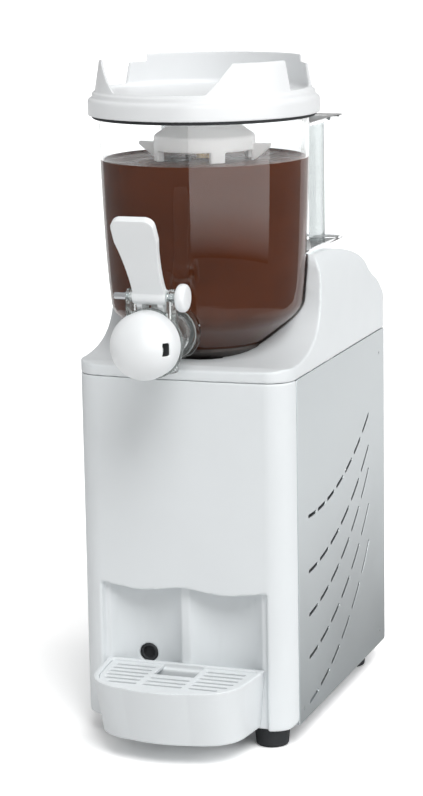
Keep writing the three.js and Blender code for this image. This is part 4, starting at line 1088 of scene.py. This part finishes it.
def crown_gaps():
    """The pouring notch at the front, the gaps at both sides and the steps of the rear wall."""
    reach = CROWN_BASE + 2 * OVERRUN
    top, base = CROWN_TOP + OVERRUN, DECK + CROWN_KERB
    left_top, left_foot, right_foot, right_top = [share * CROWN_TOP_RADIUS for share in NOTCH_SHARES]
    near, far = [BOWL_Y + share * CROWN_TOP_RADIUS for share in CROWN_GAP_SHARES]
    control = CROWN_TOP - NOTCH_DROP
    notch = [*bend((left_top, top), ((left_top + left_foot) / 2, control), (left_foot, base)),
             *bend((right_foot, base), ((right_top + right_foot) / 2, control), (right_top, top))]
    step = CROWN_STEP_SHARE * CROWN_TOP_RADIUS
    low = CROWN_TOP - CROWN_STEP_DROP
    return [prism(notch, BOWL_Y - reach, near, "back"), box((-reach, reach), (near, far), (base, top)),
            box((-reach, -step), (BOWL_Y, BOWL_Y + reach), (low, top)),
            box((step, reach), (BOWL_Y, BOWL_Y + reach), (low, top))]


def lid():
    shell = lathe(lid_profile(), BOWL_CENTRE, "up", 200)
    cut(shell, *crown_gaps())
    soften(shell, 0.8, 3, 0.6)
    dress(shell, "lid_shell", "lid_unit", LID_WHITE, ["lid"])
    inner = BOWL_TOP_RADIUS + GAP
    low, high = SKIRT_BOTTOM - SEAL_HEIGHT - GAP, SKIRT_BOTTOM - GAP
    seal = lathe([(inner, low), (SEAL_OUTER - 0.8, low), (SEAL_OUTER, low + 0.8), (SEAL_OUTER, high),
                  (LID_RADIUS - WALL - GAP, high), (LID_RADIUS - WALL - GAP, SKIRT_BOTTOM + SEAL_HEIGHT),
                  (inner, SKIRT_BOTTOM + SEAL_HEIGHT)], BOWL_CENTRE, "up", ROUND)
    dress(seal, "lid_gasket", "lid_unit", RUBBER, ["lid_seal"])


# Stirrer
HUB_TOP = 552
HUB_CAP = 31
HUB_SKIRT = 45
HUB_SKIRT_BOTTOM = 528
HUB_BOSS = 12
HUB_LEG = 13
HUB_RING_TOP = 508
HUB_RING_HEIGHT = 8
FIN_REACH = 62
FIN_DEPTH = 17
PADDLE = 4
PADDLE_BAND = 8
SCRAPER_GAP = 4
LEG_TURN = 35
SHAFT_RADIUS = 5.5


def stirrer():
    shoulder = HUB_TOP - 11
    under = HUB_TOP - 5
    profile = [
        (0, STEM_TOP + 1), (HUB_BOSS, STEM_TOP + 1), (HUB_BOSS, under), (HUB_CAP - 3, under),
        (HUB_SKIRT - 3, shoulder - 3), (HUB_SKIRT - 3, HUB_SKIRT_BOTTOM), (HUB_SKIRT, HUB_SKIRT_BOTTOM),
        (HUB_SKIRT, shoulder - 2), (HUB_SKIRT - 1, shoulder), (HUB_CAP, HUB_TOP - 2), (HUB_CAP - 2, HUB_TOP),
        (0, HUB_TOP),
    ]
    body = lathe(profile, segments=128)
    cut(body, drum(SHAFT_RADIUS + GAP, STEM_TOP - 1, HUB_TOP - 5.5, segments=64))
    inner = HUB_SKIRT - 6
    low = HUB_RING_TOP - HUB_RING_HEIGHT
    parts = [ring(inner, HUB_SKIRT, low, HUB_RING_TOP)]
    for leg in range(4):
        post = box((0, HUB_SKIRT + OVERRUN), (-HUB_LEG / 2, HUB_LEG / 2), (low, HUB_SKIRT_BOTTOM + 3))
        turned(post, spin(LEG_TURN + 90 * leg))
        parts.append(keep(ring(inner, HUB_SKIRT, low, HUB_SKIRT_BOTTOM + 3), post))
    wall_path = below(offset(bowl_skin(), BOWL_WALL + SCRAPER_GAP)[CONE_START:], HUB_RING_TOP)
    inner_path = below(offset(wall_path, PADDLE_BAND), low)
    top_radius = wall_path[-1][0]
    collar = STEM_RADIUS + OVERRUN
    bottom = wall_path[0][1]
    frame_outline = [
        (inner + 1, HUB_RING_TOP), (top_radius, HUB_RING_TOP), *reversed(wall_path), (collar, bottom),
        (collar, bottom + PADDLE_BAND), *inner_path, (top_radius - PADDLE_BAND, low), (inner + 1, low),
    ]
    fin = [(HUB_SKIRT - 1, HUB_SKIRT_BOTTOM + 6), (FIN_REACH, HUB_SKIRT_BOTTOM + 6),
           (FIN_REACH, HUB_SKIRT_BOTTOM + 3), (HUB_SKIRT - 1, HUB_SKIRT_BOTTOM + 6 - FIN_DEPTH)]
    for turn in (0, 180):
        for outline in (frame_outline, fin):
            parts.append(turned(prism(outline, -PADDLE / 2, PADDLE / 2, "back"), spin(turn)))
    parts.append(ring(collar, collar + PADDLE_BAND, bottom, bottom + PADDLE_BAND))
    join(body, *parts)
    soften(body, 0.8, 3, 0.7)
    turned(body, Matrix.Translation(BOWL_CENTRE))
    dress(body, "stirrer_frame", "stirrer_unit", NYLON, ["stirrer"])


# Tap
SEAL_THICKNESS = 1.4
TAP_REACH = 124
FLANGE_BACK = TAP_REACH - SPIGOT_REACH - SEAL_THICKNESS - 2 * GAP
FLANGE_RADIUS = 22.5
FLANGE_THICKNESS = 4
BARREL_RADIUS = 18
VALVE_RADIUS = 17
VALVE_BORE = 13.3
VALVE_TOP = 24
VALVE_BOTTOM = -28
DISC_RADIUS = 30.5
DISC_THICKNESS = 3
FRONT_REACH = 22
NECK_RADIUS = 22
NECK_LENGTH = 8
EAR_INNER = 16.5
EAR_THICKNESS = 4
EAR_HALF_DEPTH = 7
PIN_SETBACK = PIN_Y - VALVE_Y
PIN_HEIGHT = PIN_Z - TAP_Z
PIN_RADIUS = 3
PIN_LEFT = 33
PIN_RIGHT = 27
BOSS_RADIUS = 6.5
CAP_RADIUS = 29
CAP_LENGTH = 35
CAP_SKIRT = 12
CAP_SLOT_SETBACK = 23
CAP_SLOT_WIDTH = 6
CAP_SLOT_HEIGHT = 11
# Share of the cap's hollow that is painted black: painted shade inside the cap, so that its slot looks dark.
CAP_SHADE_SHARE = 0.95
KNOB_RADIUS = 12
KNOB_THICKNESS = 9
BOSS_REACH = PIN_RIGHT - 0.3 * KNOB_THICKNESS - GAP
VALVE = Matrix.Translation((0, VALVE_Y, TAP_Z))


def plate_pair(outline, inner, thickness):
    """Two upright plates of one outline, left and right of the middle."""
    return [prism(outline, *sorted((side * inner, side * (inner + thickness))), "side") for side in (-1, 1)]


def tap_body():
    barrel = drum(BARREL_RADIUS, -FLANGE_BACK, FRONT_REACH, axis="front")
    parts = [
        drum(FLANGE_RADIUS, -FLANGE_BACK, -FLANGE_BACK + FLANGE_THICKNESS, axis="front"),
        drum(DISC_RADIUS, FRONT_REACH - DISC_THICKNESS, FRONT_REACH, axis="front", segments=128),
        drum(NECK_RADIUS, FRONT_REACH - OVERRUN, FRONT_REACH + NECK_LENGTH, axis="front"),
        drum(VALVE_RADIUS, VALVE_BOTTOM, VALVE_TOP),
    ]
    ear = [(PIN_SETBACK + EAR_HALF_DEPTH, 0), *arc((PIN_SETBACK, PIN_HEIGHT), EAR_HALF_DEPTH, 0, 180, 24),
           (PIN_SETBACK - EAR_HALF_DEPTH, 0)]
    parts += plate_pair(ear, EAR_INNER, EAR_THICKNESS)
    parts.append(drum(BOSS_RADIUS, EAR_INNER + 1, BOSS_REACH, (0, PIN_SETBACK, PIN_HEIGHT), "right", 64))
    join(barrel, *parts)
    cut(barrel,
        drum(SPIGOT_BORE, -FLANGE_BACK - OVERRUN, 0, axis="front"),
        drum(VALVE_BORE, VALVE_BOTTOM - OVERRUN, VALVE_TOP + OVERRUN),
        drum(PIN_RADIUS + GAP, -HALF_WIDTH, HALF_WIDTH, (0, PIN_SETBACK, PIN_HEIGHT), "right", 48))
    soften(barrel, 0.55, 4, 0.6)
    turned(barrel, VALVE)
    dress(barrel, "tap_shell", "bowl_unit", SMOKY, ["tap_body"])


def tap_cap():
    start, end = FRONT_REACH + GAP, FRONT_REACH + GAP + CAP_LENGTH
    inner = NECK_RADIUS + GAP
    rise = CAP_LENGTH - CAP_SKIRT
    dome = arc((0, 0), 1, 0, 90, 24)
    outside = [(CAP_RADIUS * a, start + CAP_SKIRT + rise * b) for a, b in dome[:-1]]
    hollow = [(inner * a, start + CAP_SKIRT + (rise - WALL) * b) for a, b in dome[:-1]]
    profile = [(0, end - WALL), *reversed(hollow), (inner, start), (CAP_RADIUS, start), *outside, (0, end)]
    shell = lathe(profile, axis="front", segments=128)
    near, far = [-(start + CAP_SLOT_SETBACK + half) for half in (CAP_SLOT_WIDTH / 2, -CAP_SLOT_WIDTH / 2)]
    cut(shell, box((0, CAP_RADIUS + OVERRUN), (near, far), (-CAP_SLOT_HEIGHT / 2, CAP_SLOT_HEIGHT / 2)))
    soften(shell, 0.45, 4, 0.7)
    # Faces in the cap's hollow are picked out for black: painted shade, so that the slot looks dark.
    inner_side = []
    for face in shell.data.polygons:
        across = math.hypot(face.center.x, face.center.z) / CAP_RADIUS
        along = max(0.0, -face.center.y - start - CAP_SKIRT) / rise
        inner_side.append(math.hypot(across, along) < CAP_SHADE_SHARE)
    turned(shell, VALVE)
    dress(shell, "tap_cover", "bowl_unit", TAP_WHITE, ["tap_cap"])
    # Black on the picked inner faces is painted shade in the cap's hollow.
    shell.data.materials.append(BLACK)
    for face, inside in zip(shell.data.polygons, inner_side):
        face.material_index = int(inside)


LEVER_HUB = 6.5
LEVER_HUB_HALF = 15
LEVER_LENGTH = 82
LEVER_THICKNESS = 7
LEVER_TIP = 19
LEVER_EDGE_SHARES = ((0, 0.84), (0.13, 0.74), (0.38, 0.79), (0.58, 0.89), (0.72, 1))
LEVER_TIP_ROUND = 8
LEVER_LEAN = 30
TOE_INNER = 7
TOE_THICKNESS = 5
TOE_HEIGHT = 3.7
TOE_REACH = 14
TOE_LEAD = 3.5
HEAD_BOTTOM = 30
HEAD_HEIGHT = 5
HEAD_HALF_WIDTH = 13
HEAD_HALF_DEPTH = 6


def tap_lever():
    tip, length = LEVER_TIP, LEVER_LENGTH
    right = [
        *spline([(tip * wide, length * way) for way, wide in LEVER_EDGE_SHARES], 8),
        *arc((tip - LEVER_TIP_ROUND, length - LEVER_TIP_ROUND), LEVER_TIP_ROUND, 0, 90, 12),
    ]
    lever = prism(mirrored(right), -LEVER_THICKNESS / 2, LEVER_THICKNESS / 2, "back")
    turned(lever, spin(LEVER_LEAN, "X"))
    parts = [drum(LEVER_HUB, -LEVER_HUB_HALF, LEVER_HUB_HALF, axis="right", segments=64)]
    toe_top = HEAD_BOTTOM - GAP - PIN_HEIGHT
    toe_foot = toe_top - TOE_HEIGHT
    toe = [(-TOE_LEAD, 0), (-TOE_LEAD, toe_top + 1), (-TOE_LEAD + 2.5, toe_foot), (TOE_REACH, toe_foot),
           (TOE_REACH, toe_top), (LEVER_HUB - 1, toe_top), (LEVER_HUB - 1, 0)]
    join(lever, *parts, *plate_pair(toe, TOE_INNER, TOE_THICKNESS))
    cut(lever, drum(PIN_RADIUS + GAP, -HALF_WIDTH, HALF_WIDTH, axis="right", segments=48))
    soften(lever, 0.5, 8, 0.6)
    turned(lever, Matrix.Translation((0, PIN_Y, PIN_Z)))
    dress(lever, "lever_paddle", "lever", TAP_WHITE, ["tap_lever"])


def tap_pin():
    rod = lathe([(0, -PIN_LEFT), (PIN_RADIUS - 0.8, -PIN_LEFT), (PIN_RADIUS, -PIN_LEFT + 0.8),
                 (PIN_RADIUS, PIN_RIGHT), (0, PIN_RIGHT)], (0, PIN_Y, PIN_Z), "right", 48)
    dress(rod, "pin_rod", "pin", PIN_STEEL, ["tap_pin"])
    t, r = KNOB_THICKNESS, KNOB_RADIUS
    start = PIN_RIGHT - t * 0.3
    bore = PIN_RADIUS + GAP
    profile = [(bore, start), *bend((r * 0.6, start), (r, start), (r, start + t * 0.45), 10),
               *bend((r, start + t * 0.55), (r, start + t), (r * 0.55, start + t), 10),
               (0, start + t), (0, start + t * 0.3 + GAP), (bore, start + t * 0.3 + GAP)]
    profile = [profile[-2], profile[-1], *profile[:-2]]
    knob = lathe(profile, (0, PIN_Y, PIN_Z), "right", 96)
    dress(knob, "pin_grip", "pin", TAP_WHITE, ["pin_knob"])


PLUNGER_RADIUS = 12.9
PLUNGER_BOTTOM = -19
PLUNGER_STEM = 5.5
RING_SECTION = 2.2
RING_GROOVE = 1.8
RING_SHARES = (0.15, 0.8)


def tap_piston():
    low, high = PLUNGER_BOTTOM, 0
    groove = PLUNGER_RADIUS - RING_GROOVE - 2 * GAP
    profile = [(0, low), (PLUNGER_RADIUS - 1, low), (PLUNGER_RADIUS, low + 1)]
    heights = [low + (high - low) * share for share in RING_SHARES]
    for height in heights:
        bottom, top = height - RING_SECTION / 2 - GAP, height + RING_SECTION / 2 + GAP
        profile += [(PLUNGER_RADIUS, bottom), (groove, bottom), (groove, top), (PLUNGER_RADIUS, top)]
    profile += [(PLUNGER_RADIUS, high - 0.8), (PLUNGER_RADIUS - 0.8, high), (PLUNGER_STEM, high),
                (PLUNGER_STEM, HEAD_BOTTOM + OVERRUN), (0, HEAD_BOTTOM + OVERRUN)]
    body = lathe(profile)
    head = prism(rounded(rectangle(-HEAD_HALF_WIDTH, HEAD_HALF_WIDTH, -HEAD_HALF_DEPTH, HEAD_HALF_DEPTH), 2),
                 HEAD_BOTTOM, HEAD_BOTTOM + HEAD_HEIGHT)
    bevelled(head, 0.6)
    join(body, head)
    turned(body, VALVE)
    dress(body, "piston_body", "piston", NYLON, ["tap_piston"])
    for height, hand in zip(heights, ("lower", "upper")):
        inner, outer = PLUNGER_RADIUS - RING_GROOVE - GAP, VALVE_BORE - GAP
        middle, half = (inner + outer) / 2, (outer - inner) / 2
        section = [(middle + half * a, height + RING_SECTION / 2 * b) for a, b in arc((0, 0), 1, 0, 345, 23)]
        seal = turned(lathe(section), VALVE)
        dress(seal, f"seal_ring_{hand}", "piston", RUBBER, [f"piston_ring_{hand}"])


def gland_and_seal():
    inner, outer = PLUNGER_STEM + GAP, VALVE_BORE - GAP
    low, high = VALVE_TOP - 3.4, VALVE_TOP
    gland = lathe([(inner, low), (outer, low), (outer, high - 0.6), (outer - 0.6, high), (inner + 0.6, high),
                   (inner, high - 0.6)])
    dress(turned(gland, VALVE), "gland_bush", "bowl_unit", NYLON, ["tap_gland"])
    face = TAP_REACH - SPIGOT_REACH - GAP
    seal = ring(SPIGOT_BORE, FLANGE_RADIUS - 3, -face, -face + SEAL_THICKNESS, "front")
    dress(turned(seal, VALVE), "flange_seal", "bowl_unit", RUBBER, ["tap_seal"])


def dress_cad_nodes():
    """Materials of the CAD nodes that stay as they are."""
    kept = (
        (PLAIN_STEEL, "base_pan thermostat_body heater_element motor motor_bracket"),
        (BLACK, "inlet_socket switch_frame switch_rocker thermostat_knob"),
        (PIN_STEEL, "drive_shaft tap_spring"), (COATING, "heater_dish"),
        (CAST_METAL, "gearbox"), (BRASS, "stem_bush"),
    )
    for material, nodes in kept:
        for node in nodes.split():
            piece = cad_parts[node]
            if not piece.material_slots:
                piece.data.materials.append(None)
            for material_slot in piece.material_slots:
                material_slot.material = material


# Stage and light
BLACKEST = (0, 0, 0, 1)
WHITEST = (1, 1, 1, 1)
FLOOR_SIZE = 40000
FLOOR_THICKNESS = 20
FLOOR_DROP = 0.05
FLOOR_LIT = (0.8,) * 3
FLOOR_SEEN = (1.45,) * 3
CARD_LAYER = (-0.04, 0)
# Greys of the card: painted shade that the steel side reflects, darker near the machine.
CARD_GREYS = ((0.35,) * 3, (1.0,) * 3)
CARD_NEAR = 150
CARD_FAR = 420
CARD_WIDTH = 900
CARD_DEPTH = 3000
SHADE_LAYER = (-0.04, -0.02)
# Grey of the shade sheet: a painted darker reflection on the bowl.
SHADE_GREY = (0.3, 0.3, 0.3, 1)
SHADE_ANGLES = (-220, 60)
SHADE_NEAR = 1100
SHADE_FAR = 4500
BAND_ANGLES = (-87, 3)
BAND_STEPS = 48
BAND_DISTANCE = 1400
BAND_TOP = 1400
BAND_FADE = (110, 240)
BAND_LIGHT = 2.9
WORLD_LEVEL = 0.46
WORLD_SLOPE = (0.06, 0.02, 0.1)
BACKDROP = 1.3
SUNS = (("key", 35, 50, 1.75, 30), ("from_the_right", 95, 30, 0.6, 40))


def studio_piece(piece, name, seen=False):
    """Makes a matt piece part of the studio. Unless it is seen, it shows only as a reflection."""
    piece.name = name
    piece.data.transform(Matrix.Scale(MM, 4))
    paint = new_paint(f"studio_{name}")
    paint.coat({"Specular IOR Level": 0})
    piece.data.materials.append(paint.owner)
    for kind in ("camera", "diffuse", "transmission", "shadow"):
        setattr(piece, f"visible_{kind}", seen)
    return paint


def add_floor():
    """The table: a plain white for the light it throws, and a brighter one where it is seen."""
    half = FLOOR_SIZE / 2
    floor = prism(rectangle(-half, half, -half, half), -FLOOR_THICKNESS, -FLOOR_DROP)
    paint = studio_piece(floor, "floor", seen=True)
    paint.coat({"Base Color": paint.ramp(paint.seeing(), FLOOR_LIT, FLOOR_SEEN, 0, 1), "Roughness": 0.9})


def add_card():
    """A card on the table, seen only in reflections: painted shade in the steel side, darker beside the
    machine than away from it.
    """
    card = prism(rectangle(HALF_WIDTH, CARD_WIDTH, FRONT_LINE, CARD_DEPTH), *CARD_LAYER)
    paint = studio_piece(card, "card")
    grey = paint.ramp(paint.along("X"), *CARD_GREYS, CARD_NEAR * MM, CARD_FAR * MM)
    paint.coat({"Base Color": grey, "Roughness": 1})


def add_shade():
    """A grey sheet on the table, away from the machine and seen only in reflections: a painted darker
    reflection on the bowl that keeps the drink dark.
    """
    near, far = [arc((0, BOWL_Y), reach, *SHADE_ANGLES, 64) for reach in (SHADE_NEAR, SHADE_FAR)]
    paint = studio_piece(prism([*far, *reversed(near)], *SHADE_LAYER), "shade")
    paint.coat({"Base Color": SHADE_GREY, "Roughness": 1})


def add_band():
    """A bent wall of light, the pale band on the bowl, fading at its foot."""
    low, high = BAND_FADE
    line = arc((0, BOWL_Y), BAND_DISTANCE, *BAND_ANGLES, BAND_STEPS)
    points = [(x, y, z) for z in (low, BAND_TOP) for x, y in line]
    up = len(line)
    wall = from_points(points, [(i, i + 1, i + 1 + up, i + up) for i in range(BAND_STEPS)])
    paint = studio_piece(wall, "band")
    light = paint.ramp(paint.along("Z"), (0,) * 3, (BAND_LIGHT,) * 3, low * MM, high * MM)
    paint.coat({"Base Color": BLACKEST, "Emission Color": WHITEST, "Emission Strength": light})


def add_world():
    """White where it is seen, and for the object a softer light, brighter from above and the right."""
    world = bpy.data.worlds.new("studio")
    bpy.context.scene.world = world
    paint = Paint(world, "Background")
    where = paint.add("TexCoord").outputs["Generated"]
    slope = paint.add("VectorMath", {0: where, 1: WORLD_SLOPE}, operation="DOT_PRODUCT").outputs["Value"]
    lit = paint.math("ADD", slope, WORLD_LEVEL)
    level = paint.add("MapRange", {"Value": paint.seeing(), "To Min": lit, "To Max": BACKDROP})
    paint.coat({"Color": WHITEST, "Strength": level.outputs["Result"]})


def add_suns():
    """Distant lamps, each as soft as the angle that it fills."""
    for name, azimuth, elevation, strength, softness in SUNS:
        data = bpy.data.lights.new(name, "SUN")
        data.energy = strength
        data.angle = math.radians(softness)
        lamp = new_object(name, data)
        lamp.rotation_euler = heading(azimuth, elevation).to_track_quat("Z", "Y").to_euler()


add_camera()
for add in (add_floor, add_world, add_card, add_shade, add_suns, add_band):
    add()
for make in (front_casing, drain, side_panels, rear_panel, top_cover, feet, drip_tray, drip_grille,
             bowl, hot_chocolate, bowl_handle, lid, stirrer, tap_body, tap_cap, tap_lever, tap_pin,
             tap_piston, gland_and_seal):
    make()
dress_cad_nodes()
bpy.context.scene.view_settings.view_transform = "Standard"
